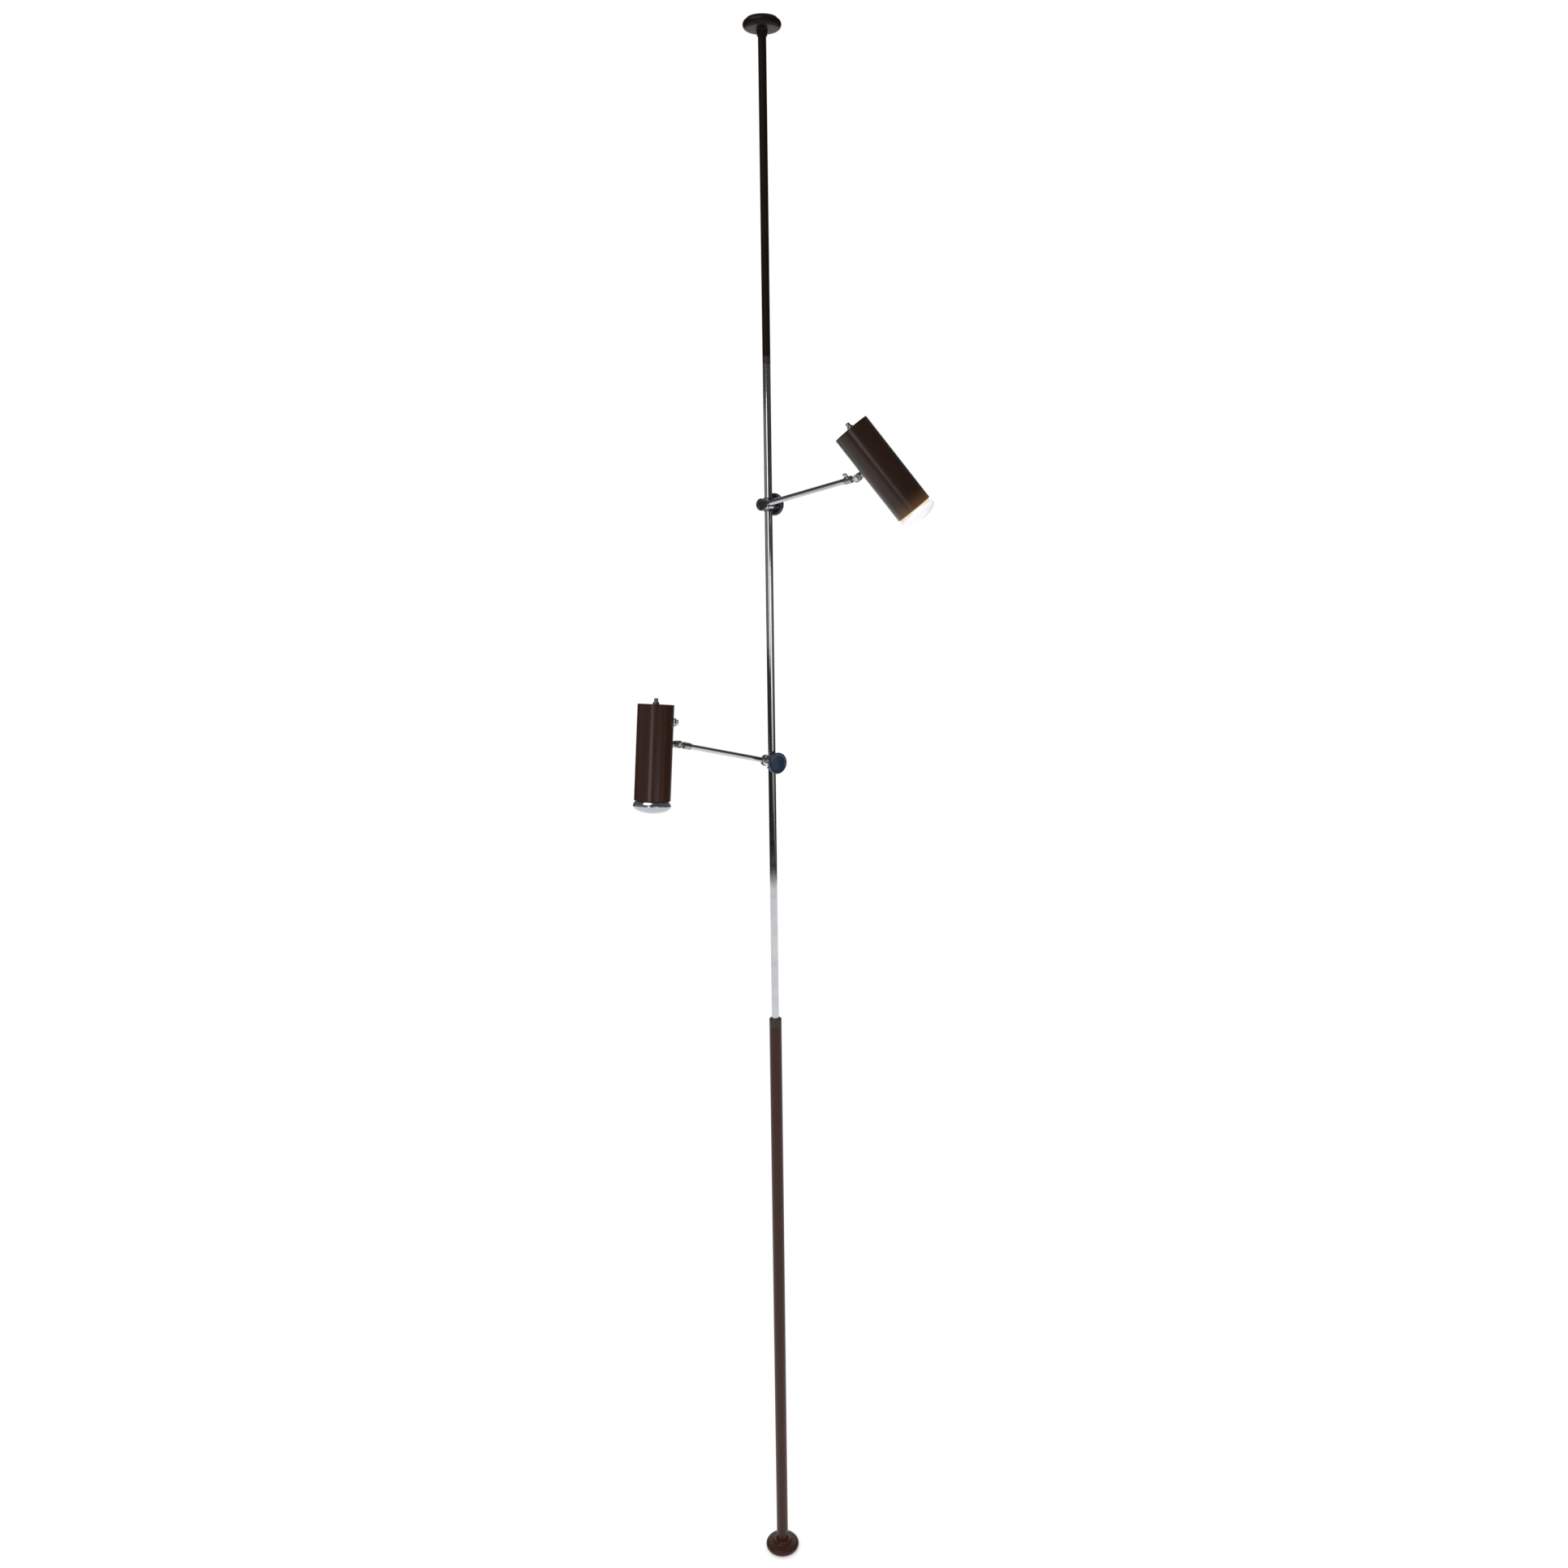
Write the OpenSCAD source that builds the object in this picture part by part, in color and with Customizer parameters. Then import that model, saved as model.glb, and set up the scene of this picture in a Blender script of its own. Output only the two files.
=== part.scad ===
// Tension pole lamp: a sprung pole held between floor and ceiling, which carries two
// spotlights on arms. Each arm rides on a clamp that slides and turns on the chrome mast.
// Millimetres, +Z up, origin on the floor at the pole's axis.

/* [Pole] */
// Height from the floor to the ceiling
room_h = 2750; // [2500:10:2900]
// Diameter of the chrome mast and of the upper tube
mast_d = 13; // [11:0.5:15]
// Wall of the mast and of the upper tube
mast_wall = 1; // [0.8:0.1:1.4]
// Diameter of the lower tube
lower_d = 22; // [21:0.5:27]
// Wall of the lower tube
lower_wall = 1.2; // [0.8:0.1:1.6]
// Height of the collar's top above the floor
collar_top = 1111; // [1060:5:1200]
// Height of the part of the collar that shows
collar_h = 17.5; // [12:0.5:24]
// Height of the collar's tapered lip
collar_lip_h = 3; // [1.5:0.5:5]
// Depth of the collar's plug inside the lower tube
collar_plug_h = 16; // [10:1:24]
// Height of the chrome mast's top above the floor
mast_top = 2238; // [2220:2:2300]
// Height of the joiner's ring between the mast and the upper tube
joiner_h = 12; // [6:1:20]
// Length of each of the joiner's two plugs
joiner_plug_h = 18; // [10:1:30]

/* [Foot and ceiling cup] */
// Diameter of the foot
foot_d = 64; // [54:1:90]
// Height of the foot above its rubber pad
foot_h = 19; // [16:0.5:26]
// Diameter of the ceiling cup
cup_d = 60.5; // [50:0.5:80]
// Height of the ceiling cup without its neck
cup_h = 19; // [16:0.5:26]
// Diameter of the ceiling cup's neck
neck_d = 21; // [18:0.5:28]
// Height of the ceiling cup's neck
neck_h = 4; // [2:0.5:8]
// Thickness of the rubber pads on the floor and on the ceiling
pad_t = 2; // [1:0.5:4]
// Width of the bare rim round each rubber pad
pad_rim = 6; // [3:0.5:9]
// Depth to which a tube sits in the foot or in the cup
tube_seat = 12; // [8:1:14]

/* [Spring in the pole] */
// Length of the spring as the lamp stands
spring_len = 400; // [300:10:440]
// Diameter of the spring's wire
wire_d = 2; // [1.4:0.1:2.4]
// Number of the spring's working curls
spring_curls = 40; // [30:1:50]
// Length of the slider at the foot of the mast
slider_h = 20; // [14:1:30]
// Height of the plug that the spring stands on
spring_seat_h = 12; // [8:1:20]
// Way that the mast can rise before its slider meets the collar
mast_rise = 100; // [60:5:120]

/* [Clamps] */
// Height of the upper clamp's axis
upper_z = 2015; // [1950:5:2100]
// Height of the lower clamp's axis
lower_z = 1579.5; // [1500:0.5:1620]
// Wall of the nylon liner between the mast and a clamp
liner_wall = 1; // [0.6:0.1:1.6]
// Height of the liner's flanges
flange_t = 1.2; // [0.8:0.1:2]
// Diameter of a clamp's barrel
barrel_d = 20; // [19:0.5:26]
// Wall of the barrel beside the liner, on the arm's side
barrel_wall = 1.3; // [1:0.1:3]
// Wall of the barrel beside the liner, on the clamp knob's side
boss_wall = 4.5; // [3:0.5:8]
// Diameter of the spigot that the arm tilts on
spigot_d = 8; // [7:0.5:9]
// Thickness of the fibre washer beside the arm's eye
washer_t = 0.8; // [0.5:0.1:1.5]
// Diameter of the clamp knob
big_knob_d = 37; // [28:1:44]
// Thickness of the clamp knob
big_knob_t = 6.5; // [5:0.5:10]
// Diameter of the clamp knob's stud
big_stud_d = 6; // [5:0.5:8]
// Diameter of the tilt knob
small_knob_d = 20; // [16:0.5:24]
// Thickness of the tilt knob
small_knob_t = 6.5; // [5:0.5:9]
// Diameter of the tilt knob's stud
small_stud_d = 4; // [3:0.5:5]

/* [Arms] */
// Length of an arm from its tilt axis to the spotlight's hinge pin
arm_len = 190; // [150:5:240]
// Diameter of an arm's rod
rod_d = 9; // [8:0.5:10]
// Diameter of an arm's eye
eye_d = 18; // [16:0.5:20]
// Thickness of an arm's eye
eye_t = 5; // [4:0.5:6]
// Diameter of the socket at an arm's end
socket_d = 11.6; // [11:0.2:14]
// Length of the socket at an arm's end
socket_len = 14; // [12:0.5:20]
// Distance from the hinge pin to the socket's mouth
socket_gap = 11.5; // [10:0.5:16]
// Diameter of the thumb screw's thread
screw_d = 3; // [2.5:0.5:4]
// Reach of the thumb screw's wing from the arm's axis
screw_reach = 16; // [13:0.5:20]
// Width of the thumb screw's wing
wing_w = 7; // [5:0.5:9]
// Upper arm's heading, from +X towards +Y
upper_heading = -36.5; // [-60:0.5:-10]
// Lower arm's heading, from +X towards +Y
lower_heading = -143.3; // [-170:0.1:-110]
// Upper arm's rise above level
upper_lift = 12.3; // [-20:0.1:35]
// Lower arm's rise above level
lower_lift = 15.6; // [-35:0.1:20]
// Turn of the upper thumb screw round its arm
upper_screw_turn = 54; // [0:1:120]
// Turn of the lower thumb screw round its arm
lower_screw_turn = 100; // [0:1:120]

/* [Spotlight hinges] */
// Turn of the upper spotlight round its arm
upper_swivel = 21.2; // [-90:0.1:90]
// Turn of the lower spotlight round its arm
lower_swivel = 5.5; // [-90:0.1:90]
// Tilt of the upper spotlight on its pin
upper_tilt = -20.2; // [-50:0.1:50]
// Tilt of the lower spotlight on its pin
lower_tilt = 7.5; // [-50:0.1:50]
// Diameter of the hinge's round ears
knuckle_d = 12.6; // [11:0.2:15]
// Thickness of the tongue between the ears
tongue_t = 4.2; // [3:0.2:6]
// Thickness of each ear
ear_t = 4.2; // [3:0.2:5]
// Diameter of the hinge pin
pin_d = 4; // [3:0.5:5]
// Diameter of the neck that turns in the arm's socket
swivel_d = 6.4; // [5.4:0.2:8]
// Diameter of the bracket's stud through the shade
bracket_stud_d = 6; // [4:0.5:8]
// Distance from the hinge pin to the shade's wall
pin_to_wall = 15; // [13:0.5:20]

/* [Shades] */
// Diameter of a shade
shade_d = 60; // [58:1:62]
// Length of a shade
shade_len = 157; // [150:1:170]
// Wall of a shade
shade_wall = 1.2; // [0.8:0.1:1.6]
// Thickness of a shade's end cap
cap_t = 3; // [2:0.5:5]
// Distance from a shade's top down to the hinge pin
pin_below_top = 64; // [58:1:75]
// Diameter of the top nut's base
top_nut_d = 10.6; // [9:0.2:14]
// Height of the top nut
top_nut_h = 10; // [7:0.5:14]
// Diameter of the rod that hangs the lampholder
stem_d = 6; // [5:0.5:8]

/* [Lamp] */
// Distance of the bulb's widest part beyond the shade's mouth
bulb_out = 8; // [7.5:0.5:12]
// Diameter of the lampholder's skirt
holder_d = 37; // [34:0.5:40]
// Length of the lampholder
holder_len = 44; // [40:1:50]
// Bore of the lampholder's skirt
holder_bore = 27.2; // [27:0.1:29]
// Depth of the bore in the lampholder
holder_depth = 23; // [20:0.5:26]
// Diameter of the reflector bulb
bulb_d = 63; // [61:0.5:64]
// Length of the reflector bulb with its cap
bulb_len = 104; // [103:0.5:108]
// Height of the bulb's front dome
dome_h = 13; // [9:0.5:16]
// Diameter of the bulb's neck
neck_glass_d = 29; // [27:0.5:32]
// Thickness of the bulb's glass
glass_t = 1; // [0.6:0.1:1.4]
// Diameter of the bulb's screw cap
bulb_cap_d = 26.4; // [26:0.1:26.8]
// Length of the bulb's screw cap
bulb_cap_len = 26.5; // [25:0.5:28]

/* [Switch] */
// Distance from a shade's top down to the push switch
switch_below_top = 28; // [20:1:36]
// Turn of the push switch from the hinge, seen from the shade's top
switch_turn = 39; // [25:1:120]
// Diameter of the switch's threaded bush
bush_d = 11; // [10:0.5:12]
// Length of the bush outside the shade
bush_out = 4.2; // [3.8:0.2:7]
// Diameter of the switch's ring nut
ring_nut_d = 13.6; // [13:0.2:17]
// Thickness of the switch's ring nut
ring_nut_t = 3.4; // [2:0.2:3.6]
// Diameter of the push button
button_d = 9; // [7:0.2:9.2]
// Height of the push button above its bush
button_out = 3.6; // [2.8:0.2:5]
// Length of the switch's body inside the shade
switch_len = 13; // [9:0.5:15]
// Diameter of the switch's body inside the shade
switch_body_d = 13; // [12:0.5:15]

/* [Hidden] */

$fn = 64;
UPPER = 0;
LOWER = 1;

// Radial clearance of a shaft that turns or slides in its hole
run = 0.05;
// Clearance between two faces that move past each other
face = 0.1;
// Clearance of a loose fit, such as a stud through a wall
loose = 0.15;
// How far a cutting shape runs past the face that it cuts
past = 1;

// Finishes
lacquer = [0.22, 0.13, 0.10];
black = [0.07, 0.07, 0.08];
chrome = [0.78, 0.80, 0.83];
nickel = [0.62, 0.63, 0.60];
nylon = [0.30, 0.30, 0.31];
rubber = [0.12, 0.12, 0.12];
brass = [0.72, 0.62, 0.42];
glass = [0.85, 0.86, 0.88];

// Pole
mast_r = mast_d / 2;
mast_bore_r = mast_r - mast_wall;
lower_r = lower_d / 2;
lower_bore_r = lower_r - lower_wall;
lower_tube_top = collar_top - collar_h;
lower_tube_foot = pad_t + foot_h - tube_seat;
slider_top = lower_tube_top - collar_plug_h - mast_rise - face;
slider_foot = slider_top - slider_h;
mast_foot = slider_foot + slider_h / 4;
spring_foot = slider_foot - spring_len;
cup_foot = room_h - pad_t - cup_h;
upper_tube_foot = mast_top + joiner_h;
upper_tube_top = cup_foot - neck_h + tube_seat;
nose_r = lower_bore_r - 1.6 * wire_d - 0.6;
nose_h = 6;

// Spring: a few closed curls at each end, then evenly spaced working curls
wire_r = wire_d / 2;
coil_r = lower_bore_r - wire_r - 0.7;
end_curls = 1.5;
end_pitch = wire_d + 0.7;
rings_per_curl = 8;
spring_rise = spring_len - 2 * (wire_r + 0.3) - 2 * end_curls * end_pitch;
work_pitch = spring_rise / spring_curls;
all_curls = spring_curls + 2 * end_curls;

// Clamps, along their own axis: the clamp knob's side is +Y and the arm's side is -Y
liner_r = mast_r + run + liner_wall;
barrel_r = barrel_d / 2;
barrel_arm_end = -(liner_r + barrel_wall);
barrel_knob_end = liner_r + boss_wall;
flat_z = barrel_r * 0.96;
flange_r = liner_r + 1;
liner_half = flat_z + face + flange_t;
eye_front = barrel_arm_end - washer_t - face;
eye_mid = eye_front - eye_t / 2;
eye_back = eye_front - eye_t;
spigot_end = eye_back + 0.4;
small_knob_front = eye_back - face;
big_knob_front = barrel_knob_end + face;
clamp_z = [upper_z, lower_z];
heading = [upper_heading, lower_heading];
lift = [upper_lift, lower_lift];
screw_turn = [upper_screw_turn, lower_screw_turn];
swivel = [upper_swivel, lower_swivel];
tilt = [upper_tilt, lower_tilt];

// Arms, along their own axis from the tilt axis
rod_r = rod_d / 2;
rod_start = max(eye_d, small_knob_d) / 2 + 2;
socket_mouth = arm_len - socket_gap;
socket_back = socket_mouth - socket_len;
arm_plug_h = 3;
swivel_r = swivel_d / 2;
swivel_len = socket_len - arm_plug_h - 1;
screw_at = socket_mouth - swivel_len / 2;

// Spotlights: origin on the hinge pin, +X towards the shade's axis, +Z towards its top
shade_r = shade_d / 2;
shade_bore_r = shade_r - shade_wall;
axis_x = pin_to_wall + shade_r;
shade_top = pin_below_top;
shade_mouth = shade_top - shade_len;
knuckle_r = knuckle_d / 2;
slot_half = tongue_t / 2 + face;
ear_out = slot_half + ear_t;
slot_end = knuckle_r + 0.3;
nut_r = bracket_stud_d * 0.95;
nut_t = bracket_stud_d * 0.5;
nut_x = axis_x - sqrt(pow(shade_bore_r, 2) - pow(nut_r, 2)) + face;
bulb_widest = shade_mouth - bulb_out;
bulb_apex = bulb_widest - dome_h;
contact_z = bulb_apex + bulb_len;
glass_top = contact_z - bulb_cap_len + 2;
flare_top = glass_top - 9;
holder_mouth = contact_z + face - holder_depth;
holder_z = holder_mouth + holder_len;
switch_z = shade_top - switch_below_top;
switch_face = sqrt(pow(shade_bore_r, 2) - pow(switch_body_d / 2, 2)) - face;
button_depth = 9;

// ---------- shared shapes ----------

// A disc with a fully rounded rim and a flat face at z = 0
module rounded_disc(d, h) {
    edge = h / 2;
    rotate_extrude()
        intersection() {
            union() {
                square([d / 2 - edge, h]);
                translate([d / 2 - edge, edge]) circle(edge);
            }
            square([d, h]);
        }
}

// A cylinder along +Z with both ends chamfered
module chamfered(r, h, c) {
    rotate_extrude()
        polygon([[0, 0], [r - c, 0], [r, c], [r, h - c], [r - c, h], [0, h]]);
}

// A tube along +Z
module tube(r_out, r_in, h) {
    difference() {
        cylinder(r = r_out, h = h);
        translate([0, 0, -past]) cylinder(r = r_in, h = h + 2 * past);
    }
}

// Turns a shape's +Z to +Y
module along_y() { rotate([-90, 0, 0]) children(); }
// Turns a shape's +Z to +X
module along_x() { rotate([0, 90, 0]) children(); }

// ---------- frames of the two lamps ----------

// Origin where the clamp's axis meets the mast, +X towards the arm, +Y to the clamp knob
module on_clamp(i) { translate([0, 0, clamp_z[i]]) rotate([0, 0, heading[i]]) children(); }
// Origin on the tilt axis in the middle of the arm's eye, +X along the arm
module on_arm(i) { on_clamp(i) translate([0, eye_mid, 0]) rotate([0, -lift[i], 0]) children(); }
// Origin on the hinge pin, turned with the knuckle
module on_knuckle(i) { on_arm(i) translate([arm_len, 0, 0]) rotate([swivel[i], 0, 0]) children(); }
// Origin on the hinge pin, turned with the shade
module on_spot(i) { on_knuckle(i) rotate([0, tilt[i], 0]) children(); }
// Origin on the shade's axis at the hinge pin's height, +X out through the push switch
module on_switch(i) {
    on_spot(i) translate([axis_x, 0, switch_z]) rotate([0, 0, 180 - switch_turn]) children();
}

// ---------- pole ----------

module floor_pad() {
    color(rubber) rounded_pad(foot_d);
}

// A rubber pad with a shallow ring groove in its outer face
module rounded_pad(d) {
    r = d / 2 - pad_rim;
    difference() {
        cylinder(r = r, h = pad_t);
        translate([0, 0, -past]) tube(r * 0.7, r * 0.62, past + pad_t / 4);
    }
}

module floor_foot() {
    color(lacquer) translate([0, 0, pad_t]) difference() {
        rounded_disc(foot_d, foot_h);
        translate([0, 0, foot_h - tube_seat]) cylinder(r = lower_r + run, h = tube_seat + past);
    }
}

module lower_tube() {
    color(lacquer) translate([0, 0, lower_tube_foot])
        tube(lower_r, lower_bore_r, lower_tube_top - lower_tube_foot);
}

module tube_collar() {
    lip_r = mast_r + 1;
    color(black) difference() {
        translate([0, 0, lower_tube_top]) rotate_extrude() polygon([
            [0, -collar_plug_h], [lower_bore_r - run, -collar_plug_h], [lower_bore_r - run, 0],
            [lower_r, 0], [lower_r, collar_h - collar_lip_h], [lip_r, collar_h], [0, collar_h]
        ]);
        translate([0, 0, lower_tube_top - collar_plug_h - past])
            cylinder(r = mast_r + run, h = collar_plug_h + collar_h + 2 * past);
    }
}

module spring_seat() {
    color(nickel) translate([0, 0, spring_foot - spring_seat_h]) {
        chamfered(lower_bore_r - run, spring_seat_h, 0.5);
        translate([0, 0, spring_seat_h]) chamfered(nose_r, nose_h, 1);
    }
}

// Height of the wire's centre after t curls
function wire_z(t) =
    t < end_curls ? t * end_pitch :
    t > all_curls - end_curls ? spring_rise + (t - spring_curls) * end_pitch :
    end_curls * end_pitch + (t - end_curls) * work_pitch;

// One ring of the wire after t curls
function wire_ring(t) = [
    for (k = [0:5])
        let (a = t * 360, r = coil_r + wire_r * cos(k * 60 + 30))
            [r * cos(a), r * sin(a), wire_z(t) + wire_r * sin(k * 60 + 30)]
];

module pole_spring() {
    rings = all_curls * rings_per_curl;
    points = [for (n = [0:rings]) each wire_ring(n / rings_per_curl)];
    sides = [
        for (n = [0:rings - 1], k = [0:5], half = [0, 1])
            let (a = n * 6 + k, b = n * 6 + (k + 1) % 6)
                half == 0 ? [a, a + 6, b] : [b, a + 6, b + 6]
    ];
    first_end = [for (k = [0:5]) k];
    last_end = [for (k = [5:-1:0]) rings * 6 + k];
    color(nickel) translate([0, 0, spring_foot + wire_r + 0.3])
        polyhedron(points = points, faces = concat([first_end], sides, [last_end]));
}

// Least gap between neighbouring curls, measured on the wire's own points
spring_gaps = [
    for (n = [0:(all_curls - 1) * rings_per_curl])
        let (t = n / rings_per_curl) wire_z(t + 1) - wire_z(t) - wire_d
];
echo(least_spring_gap = min(spring_gaps));

module chrome_mast() {
    color(chrome) translate([0, 0, mast_foot]) tube(mast_r, mast_bore_r, mast_top - mast_foot);
}

module mast_slider() {
    color(nylon) translate([0, 0, slider_foot]) {
        difference() {
            chamfered(lower_bore_r - 2 * run, slider_h, 0.8);
            translate([0, 0, slider_h / 4]) cylinder(r = mast_r + run, h = slider_h);
        }
        translate([0, 0, -nose_h]) chamfered(nose_r, nose_h + past, 1);
    }
}

module mast_joiner() {
    color(black) translate([0, 0, mast_top]) {
        cylinder(r = mast_r, h = joiner_h);
        translate([0, 0, -joiner_plug_h])
            chamfered(mast_bore_r - run, joiner_h + 2 * joiner_plug_h, 0.8);
    }
}

module upper_tube() {
    color(lacquer) translate([0, 0, upper_tube_foot])
        tube(mast_r, mast_bore_r, upper_tube_top - upper_tube_foot);
}

module ceiling_cup() {
    color(lacquer) translate([0, 0, cup_foot]) difference() {
        union() {
            rounded_disc(cup_d, cup_h);
            translate([0, 0, -neck_h]) chamfered(neck_d / 2, neck_h + cup_h / 2, 1);
        }
        translate([0, 0, -neck_h - past]) cylinder(r = mast_r + run, h = tube_seat + past);
    }
}

module ceiling_pad() {
    color(rubber) translate([0, 0, room_h]) mirror([0, 0, 1]) rounded_pad(cup_d);
}

// ---------- clamps ----------

// Split nylon sleeve with a flange above and below the barrel
module liner(i) {
    slit = 1.2;
    color(nylon) on_clamp(i) difference() {
        translate([0, 0, -liner_half]) {
            cylinder(r = liner_r, h = 2 * liner_half);
            cylinder(r = flange_r, h = flange_t);
            translate([0, 0, 2 * liner_half - flange_t]) cylinder(r = flange_r, h = flange_t);
        }
        translate([0, 0, -liner_half - past])
            cylinder(r = mast_r + run, h = 2 * (liner_half + past));
        translate([0, -slit / 2, -liner_half - past])
            cube([flange_r + past, slit, 2 * (liner_half + past)]);
    }
}

module clamp_body(i) {
    barrel_len = barrel_knob_end - barrel_arm_end;
    color(chrome) on_clamp(i) difference() {
        union() {
            translate([0, barrel_arm_end, 0]) along_y() chamfered(barrel_r, barrel_len, 0.6);
            translate([0, spigot_end, 0]) along_y()
                chamfered(spigot_d / 2, barrel_arm_end - spigot_end + past, 0.4);
        }
        translate([0, 0, -barrel_r - past]) cylinder(r = liner_r + run, h = 2 * (barrel_r + past));
        for (side = [-1, 1])
            translate([0, barrel_arm_end + barrel_len / 2, side * (flat_z + barrel_r)])
                cube([barrel_d, barrel_len + 2 * past, 2 * barrel_r], center = true);
        along_y() cylinder(r = big_stud_d / 2 + run, h = barrel_knob_end + past);
        translate([0, spigot_end - past, 0]) along_y()
            cylinder(r = small_stud_d / 2 + run, h = barrel_arm_end - spigot_end + past);
    }
}

module friction_washer(i) {
    color(black) on_clamp(i) translate([0, barrel_arm_end - washer_t, 0]) along_y()
        tube(eye_d / 2, spigot_d / 2 + run, washer_t);
}

// A knob with a rounded rim, a shallow dished face, a hub and a threaded stud
module knob(d, t, stud_d, stud_len) {
    edge = t / 2;
    dish_r = d / 2 - edge;
    difference() {
        rounded_disc(d, t);
        translate([0, 0, t - 0.8]) rotate_extrude() polygon([
            [0, 0.4], [dish_r * 0.55, 0.25], [dish_r * 0.92, 0], [dish_r, past], [0, past]
        ]);
    }
    translate([0, 0, -stud_len]) chamfered(stud_d / 2, stud_len + edge, 0.4);
}

module clamp_knob(i) {
    color(black) on_clamp(i) translate([0, big_knob_front, 0]) along_y()
        knob(big_knob_d, big_knob_t, big_stud_d, big_knob_front - liner_r - face);
}

module tilt_knob(i) {
    stud_len = barrel_arm_end - small_knob_front - face;
    color(black) on_clamp(i) translate([0, small_knob_front, 0]) mirror([0, 1, 0]) along_y()
        knob(small_knob_d, small_knob_t, small_stud_d, stud_len);
}

// ---------- arms ----------

module arm(i) {
    neck_r = eye_t / 2 - 0.1;
    color(chrome) on_arm(i) difference() {
        union() {
            translate([0, -eye_t / 2, 0]) along_y() chamfered(eye_d / 2, eye_t, 0.5);
            along_x() cylinder(r = neck_r, h = rod_start + past);
            translate([rod_start, 0, 0]) along_x() rotate_extrude() polygon([
                [0, 0], [neck_r, 0], [rod_r, rod_r - neck_r], [rod_r, socket_back - rod_start],
                [swivel_r, socket_back - rod_start], [swivel_r, socket_back - rod_start + arm_plug_h],
                [0, socket_back - rod_start + arm_plug_h]
            ]);
        }
        translate([0, -eye_t / 2 - past, 0]) along_y()
            cylinder(r = spigot_d / 2 + run, h = eye_t + 2 * past);
    }
}

module arm_socket(i) {
    color(nickel) on_arm(i) difference() {
        translate([socket_back, 0, 0]) along_x() chamfered(socket_d / 2, socket_len, 0.8);
        translate([socket_back - past, 0, 0]) along_x()
            cylinder(r = swivel_r + run, h = socket_len + 2 * past);
        translate([screw_at, 0, 0]) rotate([screw_turn[i], 0, 0])
            cylinder(r = screw_d / 2 + run, h = socket_d);
    }
}

// A thumb screw: thread, round shoulder and a flat wing with rounded corners
module thumb_screw(i) {
    shoulder_z = socket_d / 2 + face;
    wing_t = 2.4;
    wing_foot = shoulder_z + 2;
    corner = wing_w / 3;
    color(nickel) on_arm(i) translate([screw_at, 0, 0]) rotate([screw_turn[i], 0, 0]) {
        translate([0, 0, swivel_r + face])
            cylinder(r = screw_d / 2, h = wing_foot - swivel_r);
        translate([0, 0, shoulder_z]) chamfered(screw_d / 2 + 1.2, 2.4, 0.3);
        translate([0, wing_t / 2, wing_foot]) rotate([90, 0, 0]) linear_extrude(wing_t) {
            translate([-wing_w / 2 + corner, screw_reach - wing_foot - corner]) circle(corner);
            translate([wing_w / 2 - corner, screw_reach - wing_foot - corner]) circle(corner);
            translate([-wing_w / 2, 2])
                square([wing_w, screw_reach - wing_foot - corner - 2]);
            translate([-wing_w / 2 + corner, 0])
                square([wing_w - 2 * corner, screw_reach - wing_foot]);
        }
    }
}

// ---------- spotlight hinge ----------

module knuckle(i) {
    flat = 2 * swivel_r;
    color(nickel) on_knuckle(i) difference() {
        union() {
            translate([0, -tongue_t / 2, 0]) along_y() cylinder(r = knuckle_r - 0.1, h = tongue_t);
            translate([-slot_end - past, -tongue_t / 2, -flat / 2])
                cube([slot_end + past, tongue_t, flat]);
            translate([-socket_gap - swivel_len, 0, 0]) along_x()
                chamfered(swivel_r, socket_gap + swivel_len - slot_end, 0.4);
        }
        translate([0, -tongue_t, 0]) along_y() cylinder(r = pin_d / 2 + run, h = 2 * tongue_t);
    }
}

// Fork with two round ears, a boss that fits the shade's curve, and a stud through its wall
module bracket(i) {
    boss_r = knuckle_r - 0.8;
    stud_end = nut_x + nut_t + 1.5;
    color(nickel) on_spot(i) difference() {
        union() {
            for (side = [-1, 1]) translate([0, side * (slot_half + ear_t / 2), 0]) {
                translate([0, -ear_t / 2, 0]) along_y() cylinder(r = knuckle_r, h = ear_t);
                translate([0, -ear_t / 2, -knuckle_r * 0.6])
                    cube([slot_end + 2, ear_t, knuckle_r * 1.2]);
            }
            difference() {
                translate([slot_end, 0, 0]) along_x() cylinder(r = boss_r, h = pin_to_wall);
                translate([axis_x, 0, -knuckle_d]) cylinder(r = shade_r + run, h = 2 * knuckle_d);
            }
            translate([slot_end, -ear_out, -knuckle_r * 0.6])
                cube([2, 2 * ear_out, knuckle_r * 1.2]);
            translate([slot_end + past, 0, 0]) along_x()
                cylinder(r = bracket_stud_d / 2, h = stud_end - slot_end - past);
        }
        translate([0, -ear_out - past, 0]) along_y()
            cylinder(r = pin_d / 2 + run, h = 2 * (ear_out + past));
    }
}

module hinge_pin(i) {
    head_r = pin_d / 2 + 1.6;
    color(chrome) on_spot(i) translate([0, -ear_out, 0]) along_y() {
        cylinder(r = pin_d / 2, h = 2 * ear_out);
        translate([0, 0, -1.4]) chamfered(head_r, 1.4, 0.5);
        translate([0, 0, 2 * ear_out]) chamfered(head_r, 1.4, 0.5);
    }
}

module bracket_nut(i) {
    color(nickel) on_spot(i) translate([nut_x, 0, 0]) along_x() difference() {
        cylinder(r = nut_r, h = nut_t, $fn = 6);
        translate([0, 0, -past]) cylinder(r = bracket_stud_d / 2 + run, h = nut_t + 2 * past);
    }
}

// ---------- shades ----------

module shade_tube(i) {
    color(lacquer) difference() {
        on_spot(i) translate([axis_x, 0, shade_mouth])
            tube(shade_r, shade_bore_r, shade_len - cap_t / 2);
        on_spot(i) along_x() cylinder(r = bracket_stud_d / 2 + loose, h = axis_x);
        on_switch(i) along_x() cylinder(r = bush_d / 2 + loose, h = shade_d);
    }
}

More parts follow.
